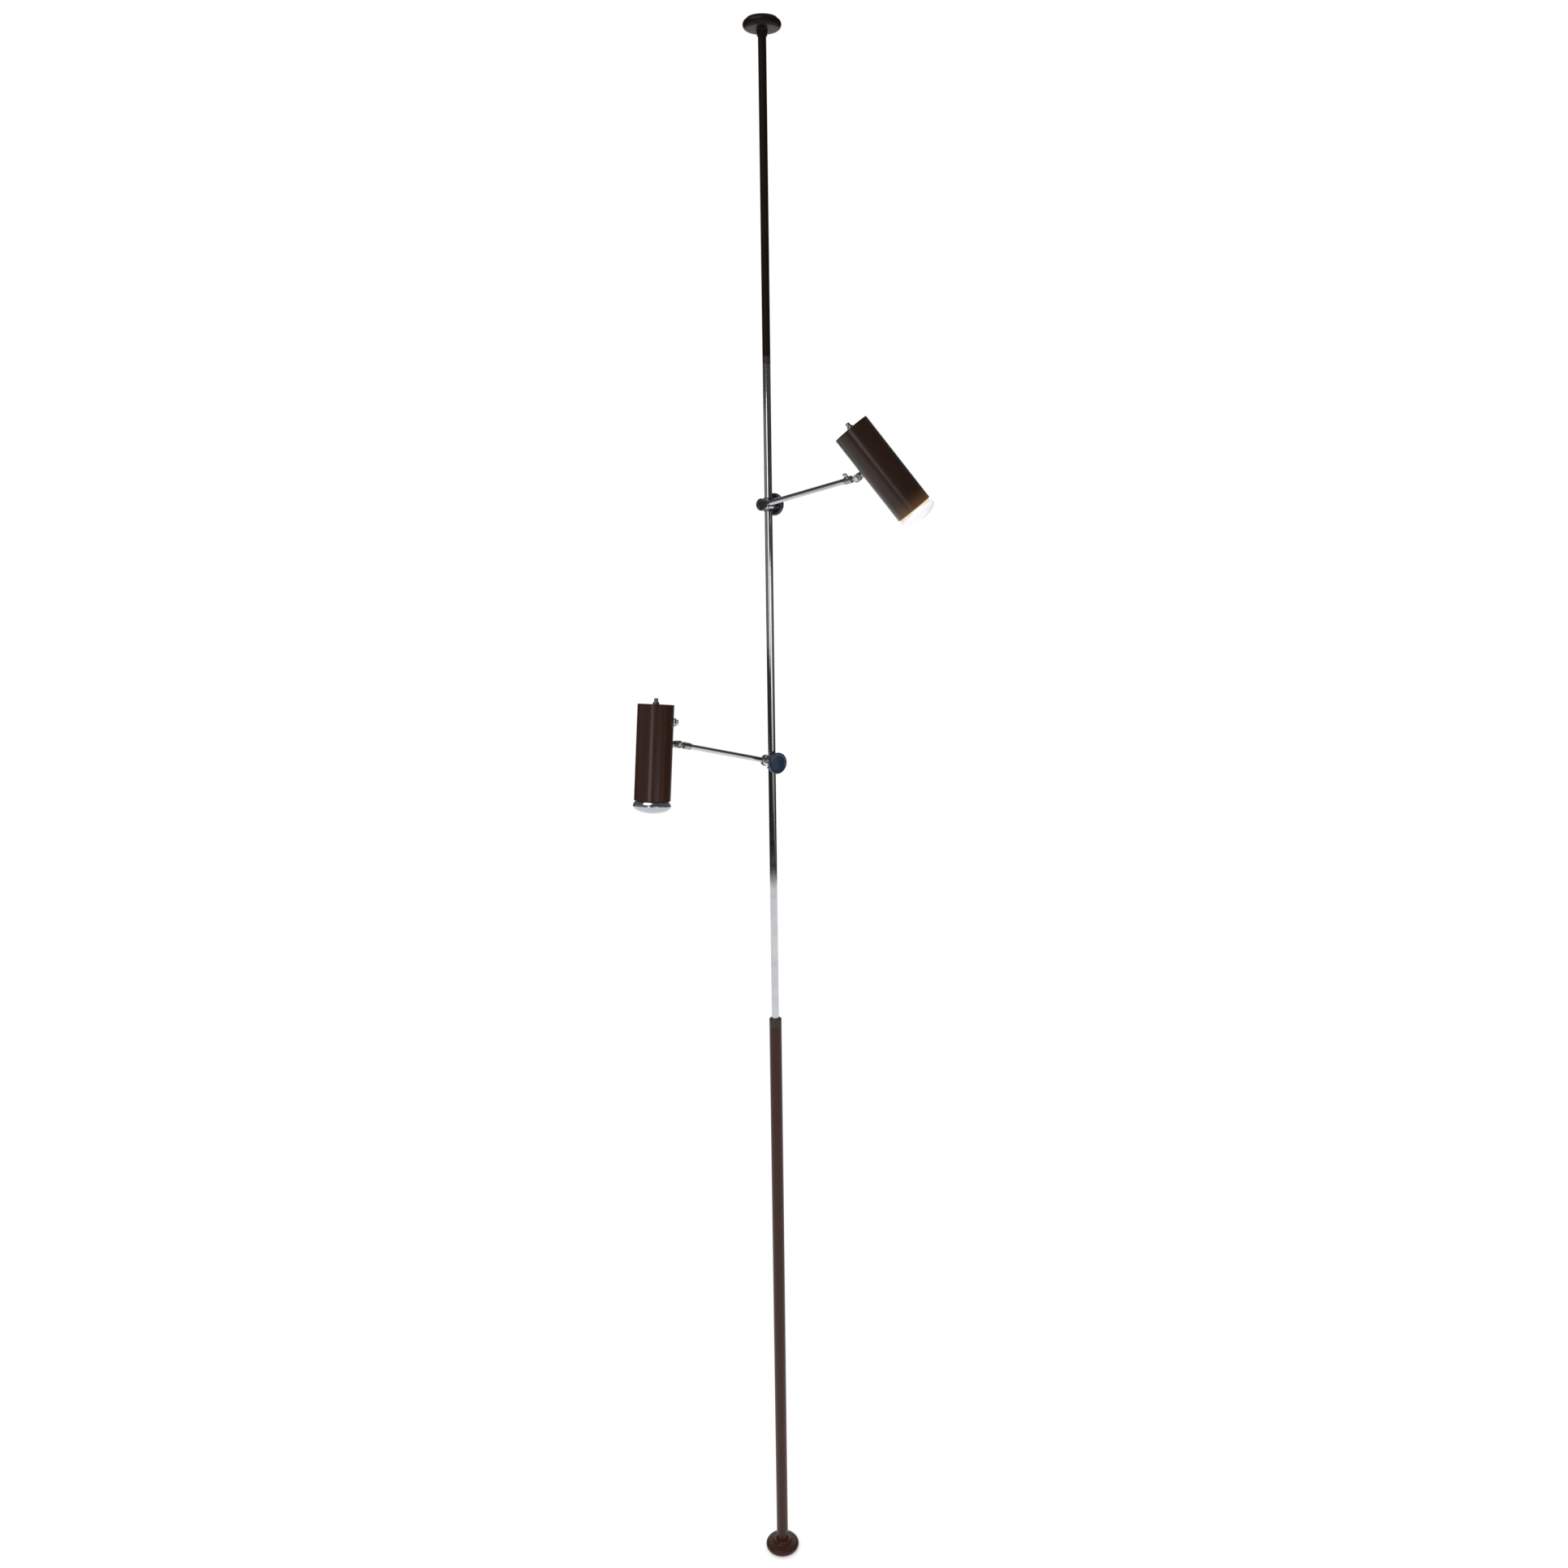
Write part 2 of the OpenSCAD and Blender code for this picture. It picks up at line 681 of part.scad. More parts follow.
// End cap: a rounded lid the size of the tube, with a plug that fits inside it
module shade_cap(i) {
    edge = cap_t / 2;
    color(lacquer) on_spot(i) translate([axis_x, 0, shade_top]) difference() {
        rotate_extrude() {
            translate([0, -edge]) square([shade_r - edge, edge]);
            intersection() {
                translate([shade_r - edge, -edge]) circle(edge);
                translate([shade_r - edge, -edge]) square(edge);
            }
            translate([0, -cap_t]) square([shade_bore_r - run, cap_t / 2 + 0.01]);
        }
        translate([0, 0, -cap_t - past]) cylinder(r = stem_d / 2 + loose, h = cap_t + 2 * past);
    }
}

// Round nut that narrows towards its domed top
module top_nut(i) {
    base_r = top_nut_d / 2;
    top_r = base_r * 0.64;
    color(nickel) on_spot(i) translate([axis_x, 0, shade_top]) difference() {
        rotate_extrude() polygon([
            [0, 0], [base_r, 0], [base_r, top_nut_h * 0.3], [top_r, top_nut_h * 0.42],
            [top_r, top_nut_h * 0.85], [top_r * 0.6, top_nut_h], [0, top_nut_h]
        ]);
        translate([0, 0, -past]) cylinder(r = stem_d / 2 + run, h = past + top_nut_h * 0.35);
    }
}

// Rod that hangs the lampholder, with a shoulder that bears on the cap from below
module holder_stem(i) {
    shoulder_t = 2;
    shoulder_z = shade_top - cap_t - shoulder_t;
    stem_foot = holder_z - 6;
    color(nickel) on_spot(i) translate([axis_x, 0, 0]) {
        translate([0, 0, stem_foot])
            cylinder(r = stem_d / 2, h = shade_top + top_nut_h * 0.3 - stem_foot);
        translate([0, 0, shoulder_z]) cylinder(r = stem_d / 2 + 2, h = shoulder_t);
    }
}

// ---------- lamp ----------

// Lampholder: stepped body with a domed back and an open skirt
module lampholder(i) {
    back_h = holder_len - holder_depth;
    skirt_r = holder_d / 2;
    color(black) on_spot(i) translate([axis_x, 0, holder_z]) difference() {
        rotate_extrude() polygon([
            [0, 0], [skirt_r * 0.45, 0], [skirt_r * 0.72, -back_h * 0.15],
            [skirt_r * 0.85, -back_h * 0.4], [skirt_r * 0.85, -back_h * 0.8],
            [skirt_r, -back_h], [skirt_r, -holder_len], [0, -holder_len]
        ]);
        translate([0, 0, -holder_len - past]) cylinder(r = holder_bore / 2, h = holder_depth + past);
        translate([0, 0, -6]) cylinder(r = stem_d / 2 + run, h = 6 + past);
    }
}

// Screw cap: contact, insulator and a shell whose wall waves in and out like a thread
module bulb_cap(i) {
    r = bulb_cap_d / 2;
    wave = 0.5;
    waves = 4;
    steps = 8;
    shell_top = -6;
    shell_len = bulb_cap_len + shell_top - 1;
    color(brass) on_spot(i) translate([axis_x, 0, contact_z]) difference() {
        rotate_extrude() polygon(concat(
            [[0, 0], [4.5, 0], [5, -1.5], [r * 0.7, -4.5]],
            [for (k = [0:waves * steps])
                [r - wave * (1 + cos(360 * k / steps)),
                    shell_top - shell_len * k / (waves * steps)]],
            [[r - 2 * wave, -bulb_cap_len], [0, -bulb_cap_len]]
        ));
        translate([0, 0, -bulb_cap_len - past])
            cylinder(r = r - 2 * wave - 0.8, h = bulb_cap_len + past + shell_top);
    }
}

// Outline of the bulb's glass from its neck over the flare and the dome to its tip
flare_steps = 14;
dome_steps = 8;
flare_power = 4;
function flare_r(u, r_max, r_neck) = r_neck + (r_max - r_neck) * sin(90 * pow(u, flare_power));
function glass_outline(grow) =
    let (r_max = bulb_d / 2 + grow, r_neck = neck_glass_d / 2 + grow) concat(
        [for (k = [0:flare_steps])
            let (u = k / flare_steps)
                [flare_r(u, r_max, r_neck), flare_top - u * (flare_top - bulb_widest)]],
        [for (k = [1:dome_steps])
            let (a = 90 * k / dome_steps)
                [r_max * cos(a), bulb_widest - (dome_h + grow) * sin(a)]]
    );

module bulb(i) {
    color(glass) on_spot(i) translate([axis_x, 0, 0]) rotate_extrude() difference() {
        polygon(concat([[0, glass_top], [neck_glass_d / 2, glass_top]], glass_outline(0)));
        polygon(concat(
            [[0, glass_top + past], [neck_glass_d / 2 - glass_t, glass_top + past]],
            glass_outline(-glass_t)));
    }
}

// ---------- push switch ----------

module switch_body(i) {
    color(black) on_switch(i) difference() {
        union() {
            translate([switch_face - switch_len, 0, 0]) along_x()
                chamfered(switch_body_d / 2, switch_len, 0.5);
            along_x() translate([0, 0, switch_face - past])
                cylinder(r = bush_d / 2, h = shade_r + bush_out - switch_face + past);
        }
        translate([shade_r + bush_out - button_depth, 0, 0]) along_x()
            cylinder(r = button_d / 2 + run, h = button_depth + past);
    }
}

module switch_nut(i) {
    color(chrome) on_switch(i) translate([shade_r + run, 0, 0]) along_x() difference() {
        chamfered(ring_nut_d / 2, ring_nut_t, 0.5);
        translate([0, 0, -past]) cylinder(r = bush_d / 2 + run, h = ring_nut_t + 2 * past);
    }
}

module switch_button(i) {
    travel_room = 2.4;
    foot_x = shade_r + bush_out - button_depth + travel_room;
    length = shade_r + bush_out + button_out - foot_x;
    color(chrome) on_switch(i) translate([foot_x, 0, 0]) along_x()
        chamfered(button_d / 2, length, 1);
}

// ---------- assembly ----------

floor_pad();
floor_foot();
lower_tube();
tube_collar();
spring_seat();
pole_spring();
chrome_mast();
mast_slider();
mast_joiner();
upper_tube();
ceiling_cup();
ceiling_pad();
liner(UPPER);  // upper_liner
clamp_body(UPPER);  // upper_clamp_body
friction_washer(UPPER);  // upper_friction_washer
clamp_knob(UPPER);  // upper_clamp_knob
tilt_knob(UPPER);  // upper_tilt_knob
arm(UPPER);  // upper_arm
arm_socket(UPPER);  // upper_arm_socket
thumb_screw(UPPER);  // upper_thumb_screw
knuckle(UPPER);  // upper_knuckle
bracket(UPPER);  // upper_bracket
hinge_pin(UPPER);  // upper_hinge_pin
bracket_nut(UPPER);  // upper_bracket_nut
shade_tube(UPPER);  // upper_shade_tube
shade_cap(UPPER);  // upper_shade_cap
top_nut(UPPER);  // upper_top_nut
holder_stem(UPPER);  // upper_holder_stem
lampholder(UPPER);  // upper_lampholder
bulb_cap(UPPER);  // upper_bulb_cap
bulb(UPPER);  // upper_bulb
switch_body(UPPER);  // upper_switch_body
switch_nut(UPPER);  // upper_switch_nut
switch_button(UPPER);  // upper_switch_button
liner(LOWER);  // lower_liner
clamp_body(LOWER);  // lower_clamp_body
friction_washer(LOWER);  // lower_friction_washer
clamp_knob(LOWER);  // lower_clamp_knob
tilt_knob(LOWER);  // lower_tilt_knob
arm(LOWER);  // lower_arm
arm_socket(LOWER);  // lower_arm_socket
thumb_screw(LOWER);  // lower_thumb_screw
knuckle(LOWER);  // lower_knuckle
bracket(LOWER);  // lower_bracket
hinge_pin(LOWER);  // lower_hinge_pin
bracket_nut(LOWER);  // lower_bracket_nut
shade_tube(LOWER);  // lower_shade_tube
shade_cap(LOWER);  // lower_shade_cap
top_nut(LOWER);  // lower_top_nut
holder_stem(LOWER);  // lower_holder_stem
lampholder(LOWER);  // lower_lampholder
bulb_cap(LOWER);  // lower_bulb_cap
bulb(LOWER);  // lower_bulb
switch_body(LOWER);  // lower_switch_body
switch_nut(LOWER);  // lower_switch_nut
switch_button(LOWER);  // lower_switch_button
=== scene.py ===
"""Looks of a tension pole lamp: a sprung pole with two spotlights on arms.

Sizes in the tables below are in millimetres, as in the part's source, and places follow
the same chain of frames: clamp, arm, knuckle, spotlight, switch.
"""
import math

import bpy
from mathutils import Matrix, Vector


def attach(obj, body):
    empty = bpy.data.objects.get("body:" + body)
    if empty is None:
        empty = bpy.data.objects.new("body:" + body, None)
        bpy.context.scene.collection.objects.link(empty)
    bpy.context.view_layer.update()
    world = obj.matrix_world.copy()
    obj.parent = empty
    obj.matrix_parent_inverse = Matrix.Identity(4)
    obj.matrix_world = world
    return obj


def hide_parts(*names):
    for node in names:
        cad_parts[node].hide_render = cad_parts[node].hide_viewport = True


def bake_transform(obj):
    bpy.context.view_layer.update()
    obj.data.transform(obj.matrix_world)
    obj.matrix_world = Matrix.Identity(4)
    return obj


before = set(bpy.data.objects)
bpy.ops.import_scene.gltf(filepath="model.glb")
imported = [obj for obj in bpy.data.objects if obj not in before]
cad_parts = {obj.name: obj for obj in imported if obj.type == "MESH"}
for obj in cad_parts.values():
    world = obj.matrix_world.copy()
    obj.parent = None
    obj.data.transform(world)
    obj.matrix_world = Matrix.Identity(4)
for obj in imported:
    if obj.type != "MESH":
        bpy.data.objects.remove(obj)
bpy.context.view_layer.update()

MM = 0.001
LAMPS = ("upper", "lower")

# ---------- sizes ----------

ROOM_H = 2750
MAST_R = 6.5
MAST_BORE_R = 5.5
LOWER_R = 11
LOWER_BORE_R = 9.8
COLLAR_TOP = 1111
COLLAR_H = 17.5
COLLAR_LIP_H = 3
COLLAR_PLUG_H = 16
LOWER_TUBE_TOP = COLLAR_TOP - COLLAR_H
MAST_TOP = 2238
JOINER_H = 12
JOINER_PLUG_H = 18
JOINER_LOW_PLUG_H = 10.8    # stays above the upper clamp's barrel at the top of its travel
FOOT_D = 64
FOOT_H = 19
FOOT_RIM = 11
CUP_D = 60.5
CUP_H = 19
CUP_RIM = 13.5
CUP_NECK_R = MAST_R + 1.5
NECK_H = 4
PAD_T = 2
PAD_RIM = 6
TUBE_SEAT = 12
SLIDER_H = 20
SLIDER_TOP = LOWER_TUBE_TOP - COLLAR_PLUG_H - 100 - 0.1
SLIDER_FOOT = SLIDER_TOP - SLIDER_H
MAST_FOOT = SLIDER_FOOT + SLIDER_H / 4
SPRING_LEN = 400
SPRING_FOOT = SLIDER_FOOT - SPRING_LEN
SPRING_CURLS = 40
SPRING_END_CURLS = 1.5
WIRE_R = 1
SEAT_H = 12
NOSE_R = LOWER_BORE_R - 3.8
NOSE_H = 6
CUP_FOOT = ROOM_H - PAD_T - CUP_H

CLAMP_Z = {"upper": 2015, "lower": 1579.5}
HEADING = {"upper": -36.5, "lower": -143.3}
LIFT = {"upper": 12.3, "lower": 15.6}
SCREW_TURN = {"upper": 54, "lower": 100}
SWIVEL = {"upper": 21.2, "lower": 5.5}
TILT = {"upper": -20.2, "lower": 7.5}

RUN = 0.05
FACE = 0.1
LINER_R = MAST_R + RUN + 1
BARREL_R = 10
BARREL_ARM_END = -(LINER_R + 1.3)
BARREL_KNOB_END = LINER_R + 4.5
FLAT_Z = 9.6
FLANGE_T = 1.2
LINER_HALF = FLAT_Z + FACE + FLANGE_T
SPIGOT_R = 4
WASHER_T = 0.8
EYE_R = 9
EYE_T = 5
EYE_FRONT = BARREL_ARM_END - WASHER_T - FACE
EYE_MID = EYE_FRONT - EYE_T / 2
EYE_BACK = EYE_FRONT - EYE_T
BIG_KNOB_FRONT = BARREL_KNOB_END + FACE
SMALL_KNOB_FRONT = EYE_BACK - FACE
BIG_KNOB_R = 18.5
SMALL_KNOB_R = 10
KNOB_T = 6.5

ARM_LEN = 190
ROD_R = 4.5
ROD_START = 12
SOCKET_R = 5.8
SOCKET_MOUTH = ARM_LEN - 11.5
SOCKET_LEN = 14
SOCKET_BACK = SOCKET_MOUTH - SOCKET_LEN
SWIVEL_R = 3.2
SWIVEL_LEN = 10
SCREW_AT = SOCKET_MOUTH - SWIVEL_LEN / 2
SCREW_REACH = 16

KNUCKLE_R = 6.3
TONGUE_T = 4.2
EAR_T = 4.2
SLOT_HALF = TONGUE_T / 2 + FACE
EAR_OUT = SLOT_HALF + EAR_T
SLOT_END = KNUCKLE_R + 0.3
PIN_R = 2
SHADE_R = 30
SHADE_BORE_R = 28.8
SHADE_LEN = 157
AXIS_X = 15 + SHADE_R
SHADE_TOP = 64
SHADE_MOUTH = SHADE_TOP - SHADE_LEN
CAP_T = 3
BULB_WIDEST = SHADE_MOUTH - 8
DOME_H = 13
BULB_R = 31.5
BULB_NECK_R = 14.5
BULB_CAP_R = 13.2
BULB_CAP_LEN = 26.5
BULB_LEN = 104
CONTACT_Z = BULB_WIDEST - DOME_H + BULB_LEN
GLASS_TOP = CONTACT_Z - BULB_CAP_LEN + 2
FLARE_TOP = GLASS_TOP - 9
HOLDER_R = 18.5
HOLDER_LEN = 44
HOLDER_DEPTH = 23
HOLDER_MOUTH = CONTACT_Z + FACE - HOLDER_DEPTH
HOLDER_Z = HOLDER_MOUTH + HOLDER_LEN
SWITCH_Z = SHADE_TOP - 28
SWITCH_TURN = 39
SWITCH_MOUTH = SHADE_R + 4.2
BUTTON_FACE = SWITCH_MOUTH + 3.6
NUT_CORNER_R = 5.7
EAR_HALF = 3.78


# ---------- places ----------

def shift(x=0.0, y=0.0, z=0.0):
    return Matrix.Translation((x * MM, y * MM, z * MM))


def turn(degrees, axis):
    return Matrix.Rotation(math.radians(degrees), 4, axis)


ALONG_X = turn(90, "Y")     # a turned piece's length lies along +X
ALONG_Y = turn(-90, "X")    # a turned piece's length lies along +Y
ALONG_MINUS_Y = turn(90, "X")
UPRIGHT = Matrix()


def on_clamp(lamp):
    return shift(z=CLAMP_Z[lamp]) @ turn(HEADING[lamp], "Z")


def on_arm(lamp):
    return on_clamp(lamp) @ shift(y=EYE_MID) @ turn(-LIFT[lamp], "Y")


def on_knuckle(lamp):
    return on_arm(lamp) @ shift(x=ARM_LEN) @ turn(SWIVEL[lamp], "X")


def on_spot(lamp):
    return on_knuckle(lamp) @ turn(TILT[lamp], "Y")


def on_shade(lamp):
    return on_spot(lamp) @ shift(x=AXIS_X)


def on_switch(lamp):
    return on_shade(lamp) @ shift(z=SWITCH_Z) @ turn(180 - SWITCH_TURN, "Z")


def on_screw(lamp):
    return on_arm(lamp) @ shift(x=SCREW_AT) @ turn(SCREW_TURN[lamp], "X")


def placed(name, data):
    """A new object in the scene."""
    made = bpy.data.objects.new(name, data)
    bpy.context.scene.collection.objects.link(made)
    return made


# ---------- camera ----------

def photo_camera():
    """The photograph's camera: 2.27 m in front of the pole and 2.03 m up, a little nose-down."""
    focal_px, frame_px, sensor = 1650, 1932, 36.0
    data = bpy.data.cameras.new("photo_camera")
    data.sensor_fit = "HORIZONTAL"
    data.sensor_width = sensor
    data.lens = sensor * focal_px / frame_px
    data.clip_start, data.clip_end = 0.05, 60
    camera = placed("photo_camera", data)
    camera.matrix_world = (Matrix.Translation((0.0204, -2.271, 2.0274))
                           @ turn(90 - 12.11, "X") @ turn(-0.6745, "Z"))
    bpy.context.scene.camera = camera


# ---------- making solids ----------

def softened(outline, closed):
    """Outline points are (radius, height) or (radius, height, rounding). A rounding turns
    the corner into an arc. Gives (radius, height, edge) with edge 1 on the arcs."""
    count = len(outline)
    made = []
    for i, point in enumerate(outline):
        here = Vector(point[:2])
        rounding = point[2] if len(point) > 2 else 0
        if not rounding or (not closed and i in (0, count - 1)):
            made.append((here.x, here.y, 0.0))
            continue
        before = Vector(outline[i - 1][:2]) - here
        after = Vector(outline[(i + 1) % count][:2]) - here
        corner = before.angle(after)
        room = 0.49 * min(before.length, after.length)
        back = min(rounding / math.tan(corner / 2), room)
        radius = back * math.tan(corner / 2)
        start, end = here + before.normalized() * back, here + after.normalized() * back
        centre = here + (before.normalized() + after.normalized()).normalized() * (
            radius / math.sin(corner / 2))
        steps = max(3, int((math.pi - corner) / math.radians(18)))
        guard = min(0.5, 0.3 * (before.length - back))
        made.append((*(start + before.normalized() * guard), 0.0))
        sweep = (start - centre).angle_signed(end - centre)
        for k in range(steps + 1):
            a = -sweep * k / steps
            arm = start - centre
            spot = centre + Vector((arm.x * math.cos(a) - arm.y * math.sin(a),
                                    arm.x * math.sin(a) + arm.y * math.cos(a)))
            made.append((spot.x, spot.y, 1.0))
        guard = min(0.5, 0.3 * (after.length - back))
        made.append((*(end + after.normalized() * guard), 0.0))
    return made


class Blank:
    """Collects turned, pressed and swept forms into one mesh, in millimetres."""

    def __init__(self):
        self.points, self.faces, self.edges, self.zones = [], [], [], []

    def add(self, points, faces, place=UPRIGHT, edge=0.0, zone=0):
        first = len(self.points)
        for p in points:
            spot = place @ Vector((p[0] * MM, p[1] * MM, p[2] * MM))
            self.points.append(spot)
            self.edges.append(p[3] if len(p) > 3 else edge)
        self.faces += [[first + k for k in face] for face in faces]
        self.zones += [zone] * len(faces)

    def turned(self, outline, place=UPRIGHT, closed=False, sides=96, zone=0, wave=None):
        """Revolves an outline round its height. wave(angle, radius, height) may change the
        radius, for a knurl or a facet."""
        rows = softened(outline, closed)
        points, faces, starts = [], [], []
        for r, z, edge in rows:
            starts.append((len(points), r < 1e-6))
            if r < 1e-6:
                points.append((0, 0, z, edge))
                continue
            for k in range(sides):
                a = 2 * math.pi * k / sides
                rr = wave(a, r, z) if wave else r
                points.append((rr * math.cos(a), rr * math.sin(a), z, edge))
        pairs = list(zip(starts, starts[1:] + ([starts[0]] if closed else [])))
        for (a, a_pole), (b, b_pole) in (pairs if closed else pairs[:len(starts) - 1]):
            for k in range(sides):
                n = (k + 1) % sides
                if a_pole and b_pole:
                    continue
                if a_pole:
                    faces.append([a, b + n, b + k])
                elif b_pole:
                    faces.append([a + k, a + n, b])
                else:
                    faces.append([a + k, a + n, b + n, b + k])
        self.add(points, faces, place, zone=zone)
        return self

    def pressed(self, outline, thickness, rounding, place=UPRIGHT, zone=0):
        """A flat piece: a convex outline in its own plane, given a thickness and rounded
        rims, from z = 0 up."""
        count = len(outline)
        flat = [Vector(p) for p in outline]
        inward = []
        for i in range(count):
            a = (flat[i] - flat[i - 1]).normalized()
            b = (flat[(i + 1) % count] - flat[i]).normalized()
            na, nb = Vector((-a.y, a.x)), Vector((-b.y, b.x))
            mid = (na + nb).normalized()
            inward.append(mid / max(0.3, mid.dot(na)))
        steps = 3
        layers = []
        for k in range(steps + 1):
            a = math.pi / 2 * k / steps
            layers.append((rounding * (1 - math.sin(a)), rounding * (1 - math.cos(a))))
        layers += [(inset, thickness - z) for inset, z in reversed(layers)]
        points = []
        for n, (inset, z) in enumerate(layers):
            edge = 0.0 if n in (0, len(layers) - 1) else 1.0
            for p, to in zip(flat, inward):
                q = p + to * inset
                points.append((q.x, q.y, z, edge))
        faces = []
        for n in range(len(layers) - 1):
            for k in range(count):
                a, b = n * count + k, n * count + (k + 1) % count
                faces.append([a, b, b + count, a + count])
        faces.append(list(reversed(range(count))))
        faces.append([(len(layers) - 1) * count + k for k in range(count)])
        self.add(points, faces, place, zone=zone)
        return self

    def swept(self, path, radius, sides=12, zone=0):
        """A round wire along a path of points."""
        points, faces = [], []
        across = None
        for i, p in enumerate(path):
            ahead = (path[min(i + 1, len(path) - 1)] - path[max(i - 1, 0)]).normalized()
            if across is None:
                across = ahead.orthogonal().normalized()
            across = (across - ahead * across.dot(ahead)).normalized()
            up = ahead.cross(across)
            for k in range(sides):
                a = 2 * math.pi * k / sides
                points.append(tuple(p + (across * math.cos(a) + up * math.sin(a)) * radius))
        for i in range(len(path) - 1):
            for k in range(sides):
                a, b = i * sides + k, i * sides + (k + 1) % sides
                faces.append([a, b, b + sides, a + sides])
        faces.append(list(reversed(range(sides))))
        last = (len(path) - 1) * sides
        faces.append([last + k for k in range(sides)])
        self.add(points, faces, zone=zone)
        return self

    def finished(self, name, place, body, nodes, slot, *materials):
        """Makes the object at its place, in its material, riding on its body if one is named."""
        mesh = bpy.data.meshes.new(name)
        mesh.from_pydata(self.points, [], self.faces)
        mesh.attributes.new("edge", "FLOAT", "POINT").data.foreach_set("value", self.edges)
        own = [c for point in self.points for c in point]
        mesh.attributes.new("own_place", "FLOAT_VECTOR", "POINT").data.foreach_set("vector", own)
        mesh.transform(place)
        for material in materials:
            mesh.materials.append(material)
        mesh.polygons.foreach_set("material_index", self.zones)
        mesh.polygons.foreach_set("use_smooth", [True] * len(self.faces))
        mesh.update()
        mesh.set_sharp_from_angle(angle=math.radians(32))
        made = placed(name, mesh)
        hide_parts(*nodes)
        if body:
            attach(made, body)
        return made


# ---------- shader groups ----------

def new_group(name, inputs, outputs):
    """A shader node group with named inputs, given as (name, default), and outputs."""
    group = bpy.data.node_groups.new(name, "ShaderNodeTree")
    for label, value in inputs:
        socket = group.interface.new_socket(
            label, in_out="INPUT",
            socket_type="NodeSocketColor" if isinstance(value, tuple) else "NodeSocketFloat")
        socket.default_value = (*value, 1.0) if isinstance(value, tuple) else value
    for label in outputs:
        group.interface.new_socket(label, in_out="OUTPUT", socket_type="NodeSocketFloat")
    return group, Wiring(group)


class Wiring:
    """Short words for placing and joining shader nodes."""

    def __init__(self, tree):
        self.tree = tree
        self.taken = 0

    def node(self, kind, **settings):
        made = self.tree.nodes.new("ShaderNode" + kind if not kind.startswith("NodeGroup")
                                   else kind)
        made.location = (220 * (self.taken % 8), -260 * (self.taken // 8))
        self.taken += 1
        for key, value in settings.items():
            setattr(made, key, value)
        return made

    def join(self, out, into):
        self.tree.links.new(out, into)

    def feed(self, socket, value):
        if isinstance(value, bpy.types.NodeSocket):
            self.join(value, socket)
        elif value is not None:
            socket.default_value = value

    def math(self, operation, a, b=None, clamp=False):
        made = self.node("Math", operation=operation, use_clamp=clamp)
        self.feed(made.inputs[0], a)
        if b is not None:
            self.feed(made.inputs[1], b)
        return made.outputs[0]

    def band(self, value, low, high, to_low=0.0, to_high=1.0):
        made = self.node("MapRange", clamp=True)
        self.feed(made.inputs["Value"], value)
        self.feed(made.inputs["From Min"], low)
        self.feed(made.inputs["From Max"], high)
        self.feed(made.inputs["To Min"], to_low)
        self.feed(made.inputs["To Max"], to_high)
        return made.outputs[0]

    def cloud(self, vector, scale, detail=3.0, roughness=0.55):
        made = self.node("TexNoise")
        self.feed(made.inputs["Vector"], vector)
        self.feed(made.inputs["Scale"], scale)
        self.feed(made.inputs["Detail"], detail)
        self.feed(made.inputs["Roughness"], roughness)
        return made.outputs["Fac"]

    def stretched(self, vector, x, y, z):
        made = self.node("VectorMath", operation="MULTIPLY")
        self.join(vector, made.inputs[0])
        made.inputs[1].default_value = (x, y, z)
        return made.outputs[0]

    def blend(self, share, a, b):
        made = self.node("Mix", data_type="RGBA", blend_type="MIX")
        self.feed(made.inputs[0], share)
        self.feed(made.inputs[6], (*a, 1.0) if isinstance(a, tuple) else a)
        self.feed(made.inputs[7], (*b, 1.0) if isinstance(b, tuple) else b)
        return made.outputs[2]


def own_place(wiring):
    """A point's place in its piece's own frame, before the piece was set in the lamp."""
    return wiring.node("Attribute", attribute_name="own_place").outputs["Vector"]


def group_ends(wiring):
    return wiring.node("NodeGroupInput"), wiring.node("NodeGroupOutput")


def new_material(name):
    """An empty material, and the words for filling it."""
    material = bpy.data.materials.new(name)
    material.use_nodes = True
    material.node_tree.nodes.clear()
    return material, Wiring(material.node_tree)


def make_mottle():
    """Slow, cloudy change over a surface, as in sprayed lacquer or aged plating."""
    group, w = new_group("mottle", [("Scale", 20.0), ("Contrast", 1.0)], ["Amount"])
    given, out = group_ends(w)
    place = own_place(w)
    wide = w.cloud(place, given.outputs["Scale"], 4.0)
    half = w.math("DIVIDE", 0.25, given.outputs["Contrast"])
    low, high = w.math("SUBTRACT", 0.5, half), w.math("ADD", 0.5, half)
    w.join(w.band(wide, low, high), out.inputs["Amount"])
    return group


def make_edge_rub():
    """Where handling has rubbed the rims bare: follows the rounded edges, broken up."""
    group, w = new_group("edge_rub", [("Amount", 0.5), ("Scale", 180.0)], ["Mask"])
    given, out = group_ends(w)
    place = own_place(w)
    edge = w.node("Attribute", attribute_name="edge").outputs["Fac"]
    patches = w.cloud(place, given.outputs["Scale"], 5.0, 0.7)
    start = w.math("SUBTRACT", 0.78, w.math("MULTIPLY", given.outputs["Amount"], 0.4))
    bare = w.band(patches, start, w.math("ADD", start, 0.08))
    w.join(w.math("MULTIPLY", bare, edge, clamp=True), out.inputs["Mask"])
    return group


